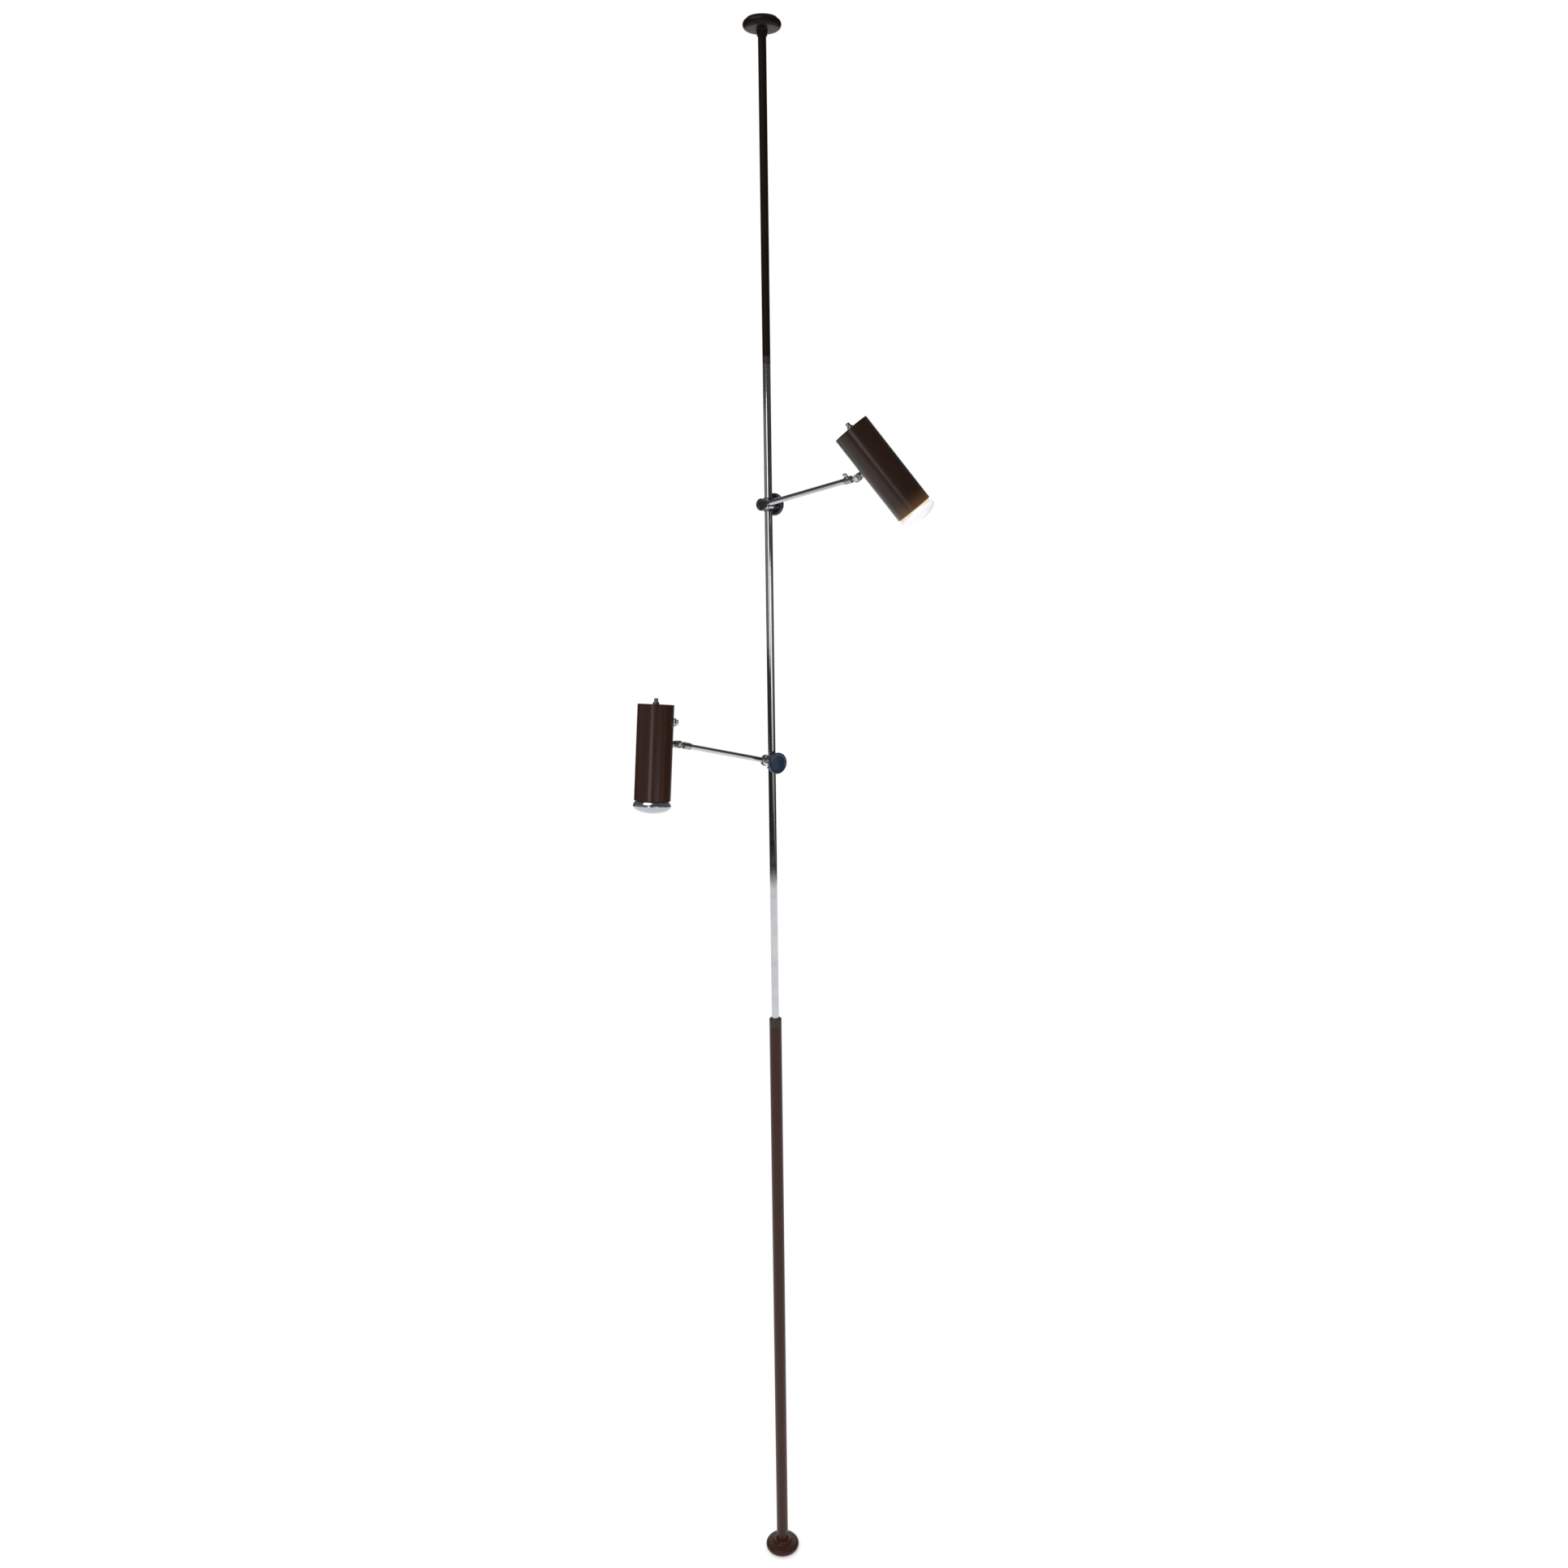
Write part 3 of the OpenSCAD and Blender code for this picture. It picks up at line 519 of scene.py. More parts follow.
def make_hairlines():
    """Fine polishing lines round a turned piece, with a few longer scratches across."""
    group, w = new_group("hairlines", [("Scale", 600.0), ("Amount", 0.3)], ["Mask", "Height"])
    given, out = group_ends(w)
    place = own_place(w)
    round_it = w.cloud(w.stretched(place, 0.02, 0.02, 1.0), given.outputs["Scale"], 2.0)
    lines = w.band(round_it, 0.56, 0.66)
    across = w.cloud(w.stretched(place, 1.0, 1.0, 0.04), given.outputs["Scale"], 2.0)
    long_ones = w.band(across, 0.68, 0.72)
    both = w.math("MAXIMUM", lines, long_ones)
    mask = w.math("MULTIPLY", both, given.outputs["Amount"], clamp=True)
    w.join(mask, out.inputs["Mask"])
    w.join(w.math("SUBTRACT", 1.0, mask), out.inputs["Height"])
    return group


def make_settled_dust():
    """Dust that lies on what faces up, thin and uneven."""
    group, w = new_group("settled_dust", [("Amount", 0.3), ("Scale", 260.0)], ["Mask"])
    given, out = group_ends(w)
    place = own_place(w)
    facing = w.node("SeparateXYZ")
    w.join(w.node("NewGeometry").outputs["Normal"], facing.inputs[0])
    up = w.band(facing.outputs["Z"], 0.45, 0.98)
    specks = w.band(w.cloud(place, given.outputs["Scale"], 6.0, 0.75), 0.38, 0.7)
    thin = w.math("MULTIPLY", up, specks)
    w.join(w.math("MULTIPLY", thin, given.outputs["Amount"], clamp=True), out.inputs["Mask"])
    return group


def make_fine_relief():
    """Small relief of a sprayed or moulded surface: a soft ripple and a fine grain."""
    group, w = new_group("fine_relief", [("Ripple", 220.0), ("Grain", 1500.0),
                                         ("Grain Share", 0.3)], ["Height"])
    given, out = group_ends(w)
    place = own_place(w)
    ripple = w.cloud(place, given.outputs["Ripple"], 1.0)
    grain = w.cloud(place, given.outputs["Grain"], 2.0)
    w.join(w.math("ADD", ripple, w.math("MULTIPLY", grain, given.outputs["Grain Share"])),
           out.inputs["Height"])
    return group


GROUPS = {"mottle": make_mottle(), "edge_rub": make_edge_rub(), "hairlines": make_hairlines(),
          "dust": make_settled_dust(), "relief": make_fine_relief()}


# ---------- finishes ----------

def placed_group(w, key, **values):
    made = w.node("Group")
    made.node_tree = GROUPS[key]
    for label, value in values.items():
        made.inputs[label.replace("_", " ")].default_value = value
    return made


def bumped(w, shader, height, depth):
    """Small relief by a bump node, its depth in millimetres."""
    bump = w.node("Bump")
    bump.inputs["Distance"].default_value = depth * MM
    w.join(height, bump.inputs["Height"])
    w.join(bump.outputs["Normal"], shader.inputs["Normal"])


def finish(name, colour, second, rough, rough_second, metallic=0.0, specular=0.5,
           coat=0.0, coat_rough=0.1, cloud=(20.0, 1.0), relief=(220.0, 1500.0, 0.3),
           relief_depth=0.02, lines=(600.0, 0.0), rub=(0.0, 180.0), bare=None,
           dust=0.2, dust_colour=(0.32, 0.30, 0.27), glow=None):
    """A surface whose colour and gloss wander between two values, with rubbed rims, hairlines,
    fine relief and a little dust. bare is what shows where the rims are rubbed: its colour,
    metallic and roughness. glow is painted light: an emission that stands in for the bulb's
    light falling on the surface, strongest at the first height and gone by the second: (from
    height, to height, colour, strength)."""
    material, w = new_material(name)
    shader = w.node("BsdfPrincipled")
    w.join(shader.outputs[0], w.node("OutputMaterial").inputs["Surface"])
    amount = placed_group(w, "mottle", Scale=cloud[0], Contrast=cloud[1]).outputs["Amount"]
    worn = placed_group(w, "edge_rub", Amount=rub[0], Scale=rub[1]).outputs["Mask"]
    hair = placed_group(w, "hairlines", Scale=lines[0], Amount=lines[1])
    dusty = placed_group(w, "dust", Amount=dust).outputs["Mask"]
    ground = placed_group(w, "relief", Ripple=relief[0], Grain=relief[1],
                          Grain_Share=relief[2]).outputs["Height"]

    paint = w.blend(amount, colour, second)
    if bare:
        paint = w.blend(worn, paint, bare[0])
    paint = w.blend(dusty, paint, dust_colour)
    w.join(paint, shader.inputs["Base Color"])

    gloss = w.band(amount, 0.0, 1.0, rough, rough_second)
    gloss = w.math("ADD", gloss, w.math("MULTIPLY", hair.outputs["Mask"], 0.25))
    if bare:
        gloss = w.math("ADD", gloss, w.math("MULTIPLY", worn, bare[2] - rough))
    gloss = w.math("ADD", gloss, w.math("MULTIPLY", dusty, 0.5), clamp=True)
    w.join(gloss, shader.inputs["Roughness"])

    if bare and bare[1] != metallic:
        share = w.band(worn, 0.0, 1.0, metallic, bare[1])
        w.join(share, shader.inputs["Metallic"])
    else:
        shader.inputs["Metallic"].default_value = metallic
    shader.inputs["Specular IOR Level"].default_value = specular
    shader.inputs["Coat Weight"].default_value = coat
    shader.inputs["Coat Roughness"].default_value = coat_rough

    bumped(w, shader, w.math("ADD", ground, w.math("MULTIPLY", hair.outputs["Height"], 0.6)),
           relief_depth)

    # Painted glow: emission near the shade's mouth stands in for the lit bulb's light on the
    # lacquer.
    if glow:
        low, high, painted_glow_colour, strength = glow
        parts = w.node("SeparateXYZ")
        w.join(own_place(w), parts.inputs[0])
        near = w.band(parts.outputs["Z"], high * MM, low * MM)
        near = w.math("POWER", near, 2.2)
        w.join(w.blend(near, (0.0, 0.0, 0.0), painted_glow_colour), shader.inputs["Emission Color"])
        shader.inputs["Emission Strength"].default_value = strength
    return material


STEEL = ((0.42, 0.41, 0.39), 1.0, 0.32)
SPRAYED = {"cloud": (14.0, 1.0), "relief_depth": 0.012, "bare": STEEL}
BROWN = {**SPRAYED, "rub": (0.12, 220.0), "lines": (500.0, 0.12)}
KNOB = {"coat": 0.25, "relief_depth": 0.01, "lines": (700.0, 0.15), "rub": (0.2, 260.0),
        "dust": 0.15}
SHADE_GLOSS = {**BROWN, "specular": 0.1, "coat": 0.65, "coat_rough": 0.24, "dust": 0.12}

brown_lacquer = finish(
    "brown_lacquer", (0.042, 0.0120, 0.0052), (0.052, 0.0148, 0.0062), 0.36, 0.44,
    specular=0.15, coat=0.3, coat_rough=0.22, dust=0.03, **BROWN)
# Painted shade: a darker copy of the brown lacquer for the lower lampshade, standing in for the
# shade on it.
painted_shade_lampshade_lacquer = finish(
    "brown_lacquer_with_painted_shade_on_the_lampshade", (0.033, 0.0096, 0.0036), (0.040, 0.0118, 0.0045), 0.36,
    0.44, **SHADE_GLOSS)
# Painted light and shade: a darker copy of the lampshade lacquer for the upper shade, with a
# painted amber glow of the bulb's light near its mouth.
painted_shade_and_glow_lacquer = finish(
    "brown_lacquer_with_painted_shade_and_bulb_glow", (0.023, 0.0084, 0.0036), (0.029, 0.0102, 0.0044), 0.36,
    0.44, glow=(SHADE_MOUTH, SHADE_MOUTH + 30, (1.0, 0.50, 0.22), 0.10), **SHADE_GLOSS)
umber_lacquer = finish(
    "umber_lacquer", (0.010, 0.0056, 0.0030), (0.013, 0.0072, 0.0038), 0.36, 0.44,
    specular=0.1, coat=0.08, coat_rough=0.2, rub=(0.1, 220.0), lines=(500.0, 0.1), dust=0.04,
    **SPRAYED)
chrome_plate = finish(
    "chrome_plate", (0.60, 0.61, 0.63), (0.52, 0.53, 0.55), 0.05, 0.1, metallic=1.0,
    cloud=(30.0, 1.2), relief=(90.0, 1800.0, 0.1), relief_depth=0.002,
    lines=(900.0, 0.07), rub=(0.1, 260.0), bare=((0.50, 0.42, 0.33), 1.0, 0.3), dust=0.1)
nickel_plate = finish(
    "nickel_plate", (0.42, 0.42, 0.39), (0.33, 0.34, 0.31), 0.24, 0.34, metallic=1.0,
    cloud=(60.0, 1.0), relief=(260.0, 2200.0, 0.4), relief_depth=0.01,
    lines=(1200.0, 0.25), rub=(0.2, 300.0), bare=((0.46, 0.37, 0.24), 1.0, 0.4), dust=0.15)
black_knob = finish(
    "black_moulded_knob", (0.012, 0.012, 0.014), (0.018, 0.018, 0.021), 0.16, 0.24,
    coat_rough=0.06, cloud=(40.0, 1.0), bare=((0.05, 0.05, 0.05), 0.0, 0.5), **KNOB)
# Painted reflection: black knob plastic tinted navy, standing in for a blue reflection on the
# lower locking knob.
painted_blue_reflection_knob = finish(
    "black_knob_with_painted_blue_reflection", (0.010, 0.026, 0.056), (0.016, 0.038, 0.078), 0.18, 0.26,
    coat_rough=0.08, cloud=(60.0, 1.0), bare=((0.05, 0.06, 0.08), 0.0, 0.5), **KNOB)
dark_nylon = finish(
    "dark_nylon", (0.034, 0.020, 0.012), (0.044, 0.027, 0.016), 0.42, 0.52,
    cloud=(50.0, 1.0), relief=(400.0, 2600.0, 0.6), relief_depth=0.02, dust=0.2)
black_rubber = finish(
    "black_rubber", (0.022, 0.020, 0.018), (0.034, 0.031, 0.028), 0.75, 0.9,
    specular=0.3, cloud=(60.0, 1.0), relief=(500.0, 3000.0, 0.8), relief_depth=0.05, dust=0.3)
spring_steel = finish(
    "spring_steel", (0.34, 0.34, 0.35), (0.20, 0.18, 0.16), 0.3, 0.45, metallic=1.0,
    cloud=(80.0, 1.2), relief=(300.0, 2600.0, 0.6), relief_depth=0.01, dust=0.0)
moulded_brown = finish(
    "moulded_brown", (0.028, 0.017, 0.011), (0.040, 0.025, 0.016), 0.28, 0.4,
    cloud=(60.0, 1.0), relief=(350.0, 2600.0, 0.5), relief_depth=0.02,
    rub=(0.15, 240.0), bare=((0.08, 0.06, 0.045), 0.0, 0.55), dust=0.2)
brass = finish(
    "brass", (0.72, 0.55, 0.29), (0.60, 0.44, 0.22), 0.24, 0.36, metallic=1.0,
    cloud=(90.0, 1.0), relief=(300.0, 2600.0, 0.4), relief_depth=0.01, dust=0.0)
solder = finish(
    "solder", (0.42, 0.42, 0.42), (0.30, 0.30, 0.30), 0.35, 0.5, metallic=1.0,
    cloud=(200.0, 1.0), relief_depth=0.03, dust=0.0)


def bulb_glass(name, silver, silver_second, frost, frost_from, glow_rim=None,
               glow_front=None):
    """Reflector bulb: silvered inside the flare, frosted on the dome, below the two heights
    of frost_from. glow_rim and glow_front are colour and strength where the bulb is lit."""
    material, w = new_material(name)
    shader = w.node("BsdfPrincipled")
    w.join(shader.outputs[0], w.node("OutputMaterial").inputs["Surface"])
    parts = w.node("SeparateXYZ")
    w.join(own_place(w), parts.inputs[0])
    front = w.band(parts.outputs["Z"], *(height * MM for height in frost_from))
    amount = placed_group(w, "mottle", Scale=70.0, Contrast=1.0).outputs["Amount"]
    silvering = w.blend(amount, silver, silver_second)
    w.join(w.blend(front, silvering, frost), shader.inputs["Base Color"])
    w.join(w.band(front, 0.0, 1.0, 0.95, 0.0), shader.inputs["Metallic"])
    w.join(w.math("ADD", w.band(front, 0.0, 1.0, 0.12, 0.38),
                  w.math("MULTIPLY", amount, 0.06)), shader.inputs["Roughness"])
    shader.inputs["Coat Weight"].default_value = 0.6
    shader.inputs["Coat Roughness"].default_value = 0.04
    relief = placed_group(w, "relief", Ripple=160.0, Grain=2400.0, Grain_Share=0.5)
    bumped(w, shader,
           w.math("MULTIPLY", relief.outputs["Height"], w.band(front, 0.0, 1.0, 0.3, 1.0)), 0.02)
    if glow_rim:
        w.join(w.blend(front, glow_rim, glow_front), shader.inputs["Emission Color"])
        shader.inputs["Emission Strength"].default_value = 1.0
    return material


cold_bulb = bulb_glass("silvered_bulb_unlit", (0.62, 0.64, 0.68), (0.52, 0.54, 0.58),
                       (0.62, 0.65, 0.71), (BULB_WIDEST - 1.2, BULB_WIDEST - 3.2))
lit_bulb = bulb_glass("silvered_bulb_lit", (0.72, 0.68, 0.60), (0.66, 0.60, 0.50),
                      (0.50, 0.50, 0.53), (SHADE_MOUTH - 0.5, SHADE_MOUTH - 6.5),
                      (0.74, 0.64, 0.47), (0.59, 0.585, 0.61))


# ---------- pole ----------

def rounded_rim(r, z_low, z_high, rounding):
    """Outline of a disc between two heights, from its axis out and back to its axis."""
    return [(0, z_low), (r, z_low, rounding), (r, z_high, rounding), (0, z_high)]


def ring(r_out, r_in, z_low, z_high, rounding=0.3):
    return [(r_in, z_low, rounding), (r_out, z_low, rounding), (r_out, z_high, rounding),
            (r_in, z_high, rounding)]


def pad_outline(r, z_face, inward):
    """A pad with a shallow ring groove in its outer face."""
    deep = z_face + inward * 0.5
    back = z_face + inward * PAD_T
    outline = [(0, z_face), (r * 0.62, z_face, 0.15), (r * 0.62, deep), (r * 0.7, deep),
               (r * 0.7, z_face, 0.15), (r, z_face, 0.5), (r, back, 0.2), (0, back)]
    return outline if inward > 0 else outline[::-1]


def make_pole():
    Blank().turned(pad_outline(FOOT_D / 2 - PAD_RIM, 0, 1)).finished(
        "floor_pad_rubber", UPRIGHT, "base", ["floor_pad"], "rubber", black_rubber)
    seat = PAD_T + FOOT_H - TUBE_SEAT
    half = FOOT_RIM / 2 - 0.05
    Blank().turned([
        (0, PAD_T), (FOOT_D / 2, PAD_T, half), (FOOT_D / 2, PAD_T + FOOT_RIM, half),
        (LOWER_R + 5, PAD_T + FOOT_RIM + 2.5, 6), (LOWER_R + 2, PAD_T + FOOT_H, 0.8),
        (LOWER_R + RUN, PAD_T + FOOT_H, 0.4), (LOWER_R + RUN, seat), (0, seat)
    ]).finished("foot_turning", UPRIGHT, "base", ["floor_foot"], "lacquer", brown_lacquer)
    Blank().turned(ring(LOWER_R, LOWER_BORE_R, seat, LOWER_TUBE_TOP), closed=True).finished(
        "lower_tube_shell", UPRIGHT, "base", ["lower_tube"], "lacquer", brown_lacquer)
    Blank().turned([
        (MAST_R + RUN, LOWER_TUBE_TOP - COLLAR_PLUG_H, 0.3),
        (LOWER_BORE_R - RUN, LOWER_TUBE_TOP - COLLAR_PLUG_H, 0.5),
        (LOWER_BORE_R - RUN, LOWER_TUBE_TOP), (LOWER_R, LOWER_TUBE_TOP, 0.3),
        (LOWER_R, COLLAR_TOP - COLLAR_LIP_H, 0.8), (MAST_R + 1, COLLAR_TOP, 0.5),
        (MAST_R + RUN, COLLAR_TOP, 0.2)
    ], closed=True).finished("collar_bush", UPRIGHT, "base", ["tube_collar"], "nylon", dark_nylon)
    Blank().turned([
        (0, SPRING_FOOT - SEAT_H), (LOWER_BORE_R - RUN, SPRING_FOOT - SEAT_H, 0.5),
        (LOWER_BORE_R - RUN, SPRING_FOOT, 0.5), (NOSE_R, SPRING_FOOT),
        (NOSE_R, SPRING_FOOT + NOSE_H, 1), (0, SPRING_FOOT + NOSE_H)
    ]).finished("spring_seat_plug", UPRIGHT, "base", ["spring_seat"], "nickel", nickel_plate)

    Blank().turned(ring(MAST_R, MAST_BORE_R, MAST_FOOT, MAST_TOP, 0.2), closed=True).finished(
        "mast_tube", UPRIGHT, "mast", ["chrome_mast"], "chrome", chrome_plate)
    Blank().turned([
        (0, SLIDER_FOOT - NOSE_H), (NOSE_R, SLIDER_FOOT - NOSE_H, 1), (NOSE_R, SLIDER_FOOT),
        (LOWER_BORE_R - 2 * RUN, SLIDER_FOOT, 0.8), (LOWER_BORE_R - 2 * RUN, SLIDER_TOP, 0.8),
        (MAST_R + RUN, SLIDER_TOP, 0.2), (MAST_R + RUN, MAST_FOOT), (0, MAST_FOOT)
    ]).finished("mast_slider_bush", UPRIGHT, "mast", ["mast_slider"], "nylon", dark_nylon)
    plug_r = MAST_BORE_R - RUN
    Blank().turned([
        (0, MAST_TOP - JOINER_LOW_PLUG_H), (plug_r, MAST_TOP - JOINER_LOW_PLUG_H, 0.8),
        (plug_r, MAST_TOP), (MAST_R, MAST_TOP, 0.3), (MAST_R, MAST_TOP + JOINER_H, 0.3),
        (plug_r, MAST_TOP + JOINER_H), (plug_r, MAST_TOP + JOINER_H + JOINER_PLUG_H, 0.8),
        (0, MAST_TOP + JOINER_H + JOINER_PLUG_H)
    ]).finished("joiner_ring", UPRIGHT, "mast", ["mast_joiner"], "holder", moulded_brown)
    tube_top = CUP_FOOT - NECK_H + TUBE_SEAT
    Blank().turned(ring(MAST_R, MAST_BORE_R, MAST_TOP + JOINER_H, tube_top, 0.2),
                   closed=True).finished(
        "upper_tube_shell", UPRIGHT, "mast", ["upper_tube"], "cup_lacquer", umber_lacquer)
    half = CUP_RIM / 2 - 0.05
    neck = CUP_FOOT - NECK_H
    Blank().turned([
        (0, tube_top), (MAST_R + RUN, tube_top), (MAST_R + RUN, neck, 0.3),
        (CUP_NECK_R, neck, 0.5), (CUP_NECK_R + 1, CUP_FOOT + CUP_H - CUP_RIM - 0.6, 1.5),
        (CUP_D / 2, CUP_FOOT + CUP_H - CUP_RIM, half),
        (CUP_D / 2, CUP_FOOT + CUP_H, half), (0, CUP_FOOT + CUP_H)
    ]).finished("cup_turning", UPRIGHT, "mast", ["ceiling_cup"], "cup_lacquer", umber_lacquer)
    Blank().turned(pad_outline(CUP_D / 2 - PAD_RIM, ROOM_H, -1)).finished(
        "ceiling_pad_rubber", UPRIGHT, "mast", ["ceiling_pad"], "rubber", black_rubber)


def make_spring():
    """Round wire with closed curls at both ends."""
    coil_r = LOWER_BORE_R - WIRE_R - 0.7
    end_pitch = 2 * WIRE_R + 0.7
    rise = SPRING_LEN - 2 * (WIRE_R + 0.3) - 2 * SPRING_END_CURLS * end_pitch
    curls = SPRING_CURLS + 2 * SPRING_END_CURLS
    per_curl = 24
    path = []
    for n in range(int(curls * per_curl) + 1):
        t = n / per_curl
        if t < SPRING_END_CURLS:
            z = t * end_pitch
        elif t > curls - SPRING_END_CURLS:
            z = rise + (t - SPRING_CURLS) * end_pitch
        else:
            z = SPRING_END_CURLS * end_pitch + (t - SPRING_END_CURLS) * rise / SPRING_CURLS
        a = 2 * math.pi * t
        path.append(Vector((coil_r * math.cos(a), coil_r * math.sin(a),
                            SPRING_FOOT + WIRE_R + 0.3 + z)))
    spring = Blank().swept(path, WIRE_R).finished(
        "spring_coil", UPRIGHT, None, ["pole_spring"], "spring_wire", spring_steel)
    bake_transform(spring)


# ---------- clamps ----------

def knob(blank, r, thickness, stud_r, stud_len, place):
    """Rounded rim, shallow dished face with a ring round its middle, a hub and a stud."""
    half = thickness / 2 - 0.05
    dish = r - thickness / 2
    blank.turned([
        (stud_r, 0), (r, 0, half), (r, thickness, half), (dish + 0.6, thickness, 0.3),
        (dish * 0.92, thickness - 0.8, 0.4), (dish * 0.55, thickness - 0.55, 0.3),
        (dish * 0.45, thickness - 0.55, 0.2), (dish * 0.4, thickness - 0.45), (0, thickness - 0.4)
    ], place)
    blank.turned([(0, -stud_len), (stud_r, -stud_len, 0.4), (stud_r, 0.3)], place, sides=48,
                 zone=1)
    return blank


def make_clamp(lamp):
    place = on_clamp(lamp)
    sleeve = Blank()
    for side in (1, -1):
        sleeve.turned([
            (MAST_R + RUN, side * 0.02), (MAST_R + RUN, side * LINER_HALF, 0.2),
            (LINER_R + 1, side * LINER_HALF, 0.3), (LINER_R + 1, side * (LINER_HALF - FLANGE_T)),
            (LINER_R, side * (LINER_HALF - FLANGE_T)), (LINER_R, side * 0.02)
        ][::side], sides=72)
    sleeve.finished(lamp + "_sleeve_liner", place, lamp + "_sleeve", [lamp + "_liner"],
                    "nylon", dark_nylon)

    def barrel_wave(a, r, z):
        """Flattens the barrel above and below, where the sleeve's flanges lie."""
        return min(r, FLAT_Z / max(abs(math.sin(a)), 1e-6))

    body = Blank()
    body.turned([
        (0, BARREL_ARM_END), (BARREL_R, BARREL_ARM_END, 0.6), (BARREL_R, BARREL_KNOB_END, 0.6),
        (BARREL_R * 0.62, BARREL_KNOB_END), (0, BARREL_KNOB_END)
    ], ALONG_Y, wave=barrel_wave, sides=144)
    body.turned([(SPIGOT_R, BARREL_ARM_END), (SPIGOT_R, EYE_BACK + 0.4, 0.4),
                 (0, EYE_BACK + 0.4)][::-1], ALONG_Y, sides=64)
    body.finished(lamp + "_clamp_barrel", place, lamp + "_clamp", [lamp + "_clamp_body"],
                  "chrome", chrome_plate)
    Blank().turned(ring(EYE_R, SPIGOT_R + RUN, BARREL_ARM_END - WASHER_T, BARREL_ARM_END, 0.1),
                   ALONG_Y, closed=True).finished(
        lamp + "_fibre_washer", place, lamp + "_clamp", [lamp + "_friction_washer"], "holder",
        moulded_brown)
    # The lower locking knob gets the copy with a painted blue reflection in its colour.
    moulding = black_knob if lamp == "upper" else painted_blue_reflection_knob
    knob(Blank(), BIG_KNOB_R, KNOB_T, 3, BIG_KNOB_FRONT - LINER_R - FACE,
         shift(y=BIG_KNOB_FRONT) @ ALONG_Y).finished(
        lamp + "_locking_knob", place, lamp + "_big_knob", [lamp + "_clamp_knob"],
        "black_knob", moulding, nickel_plate)
    knob(Blank(), SMALL_KNOB_R, KNOB_T, 2, BARREL_ARM_END - SMALL_KNOB_FRONT - FACE,
         shift(y=SMALL_KNOB_FRONT) @ ALONG_MINUS_Y).finished(
        lamp + "_tilt_locking_knob", place, lamp + "_small_knob", [lamp + "_tilt_knob"],
        "black_knob", black_knob, nickel_plate)


# ---------- arms ----------

def make_arm(lamp):
    place = on_arm(lamp)
    neck_r = EYE_T / 2 - 0.1
    boom = Blank()
    boom.turned(ring(EYE_R, SPIGOT_R + RUN, -EYE_T / 2, EYE_T / 2, 0.5), ALONG_Y, closed=True)
    boom.turned([(neck_r, SPIGOT_R + 1.5), (neck_r, ROD_START, 0.8),
                 (ROD_R, ROD_START + ROD_R - neck_r, 0.8), (ROD_R, SOCKET_BACK, 0.2),
                 (SWIVEL_R, SOCKET_BACK), (SWIVEL_R, SOCKET_BACK + 3), (0, SOCKET_BACK + 3)],
                ALONG_X)
    boom.finished(lamp + "_boom_rod", place, lamp + "_boom", [lamp + "_arm"], "chrome",
                  chrome_plate)
    Blank().turned(ring(SOCKET_R, SWIVEL_R + RUN, SOCKET_BACK, SOCKET_MOUTH, 0.8), ALONG_X,
                   closed=True).finished(
        lamp + "_boom_socket", place, lamp + "_boom", [lamp + "_arm_socket"], "nickel",
        nickel_plate)

    screw = Blank()
    shoulder = SOCKET_R + FACE
    foot = shoulder + 2
    screw.turned([(0, SWIVEL_R + FACE), (1.5, SWIVEL_R + FACE, 0.3), (1.5, shoulder),
                  (2.7, shoulder, 0.3), (2.7, shoulder + 2.4, 0.3), (0, shoulder + 2.4)],
                 sides=48)
    half, corner = 3.5, 2.3
    wing = []
    for cx, start in ((half - corner, 0), (corner - half, 90)):
        for k in range(7):
            a = math.radians(start + 15 * k)
            wing.append((cx + corner * math.cos(a),
                         SCREW_REACH - foot - corner + corner * math.sin(a)))
    wing += [(-half, 2), (corner - half, 0), (half - corner, 0), (half, 2)]
    screw.pressed(wing, 2.4, 0.6, shift(y=1.2, z=foot) @ ALONG_MINUS_Y)
    screw.finished(lamp + "_wing_screw", on_screw(lamp), lamp + "_screw",
                   [lamp + "_thumb_screw"], "nickel", nickel_plate)


# ---------- spotlight hinge ----------

def oblong(near, far, half):
    """Outline of a flat lug between two distances from the pin."""
    return [(near, -half), (far, -half), (far, half), (near, half)]


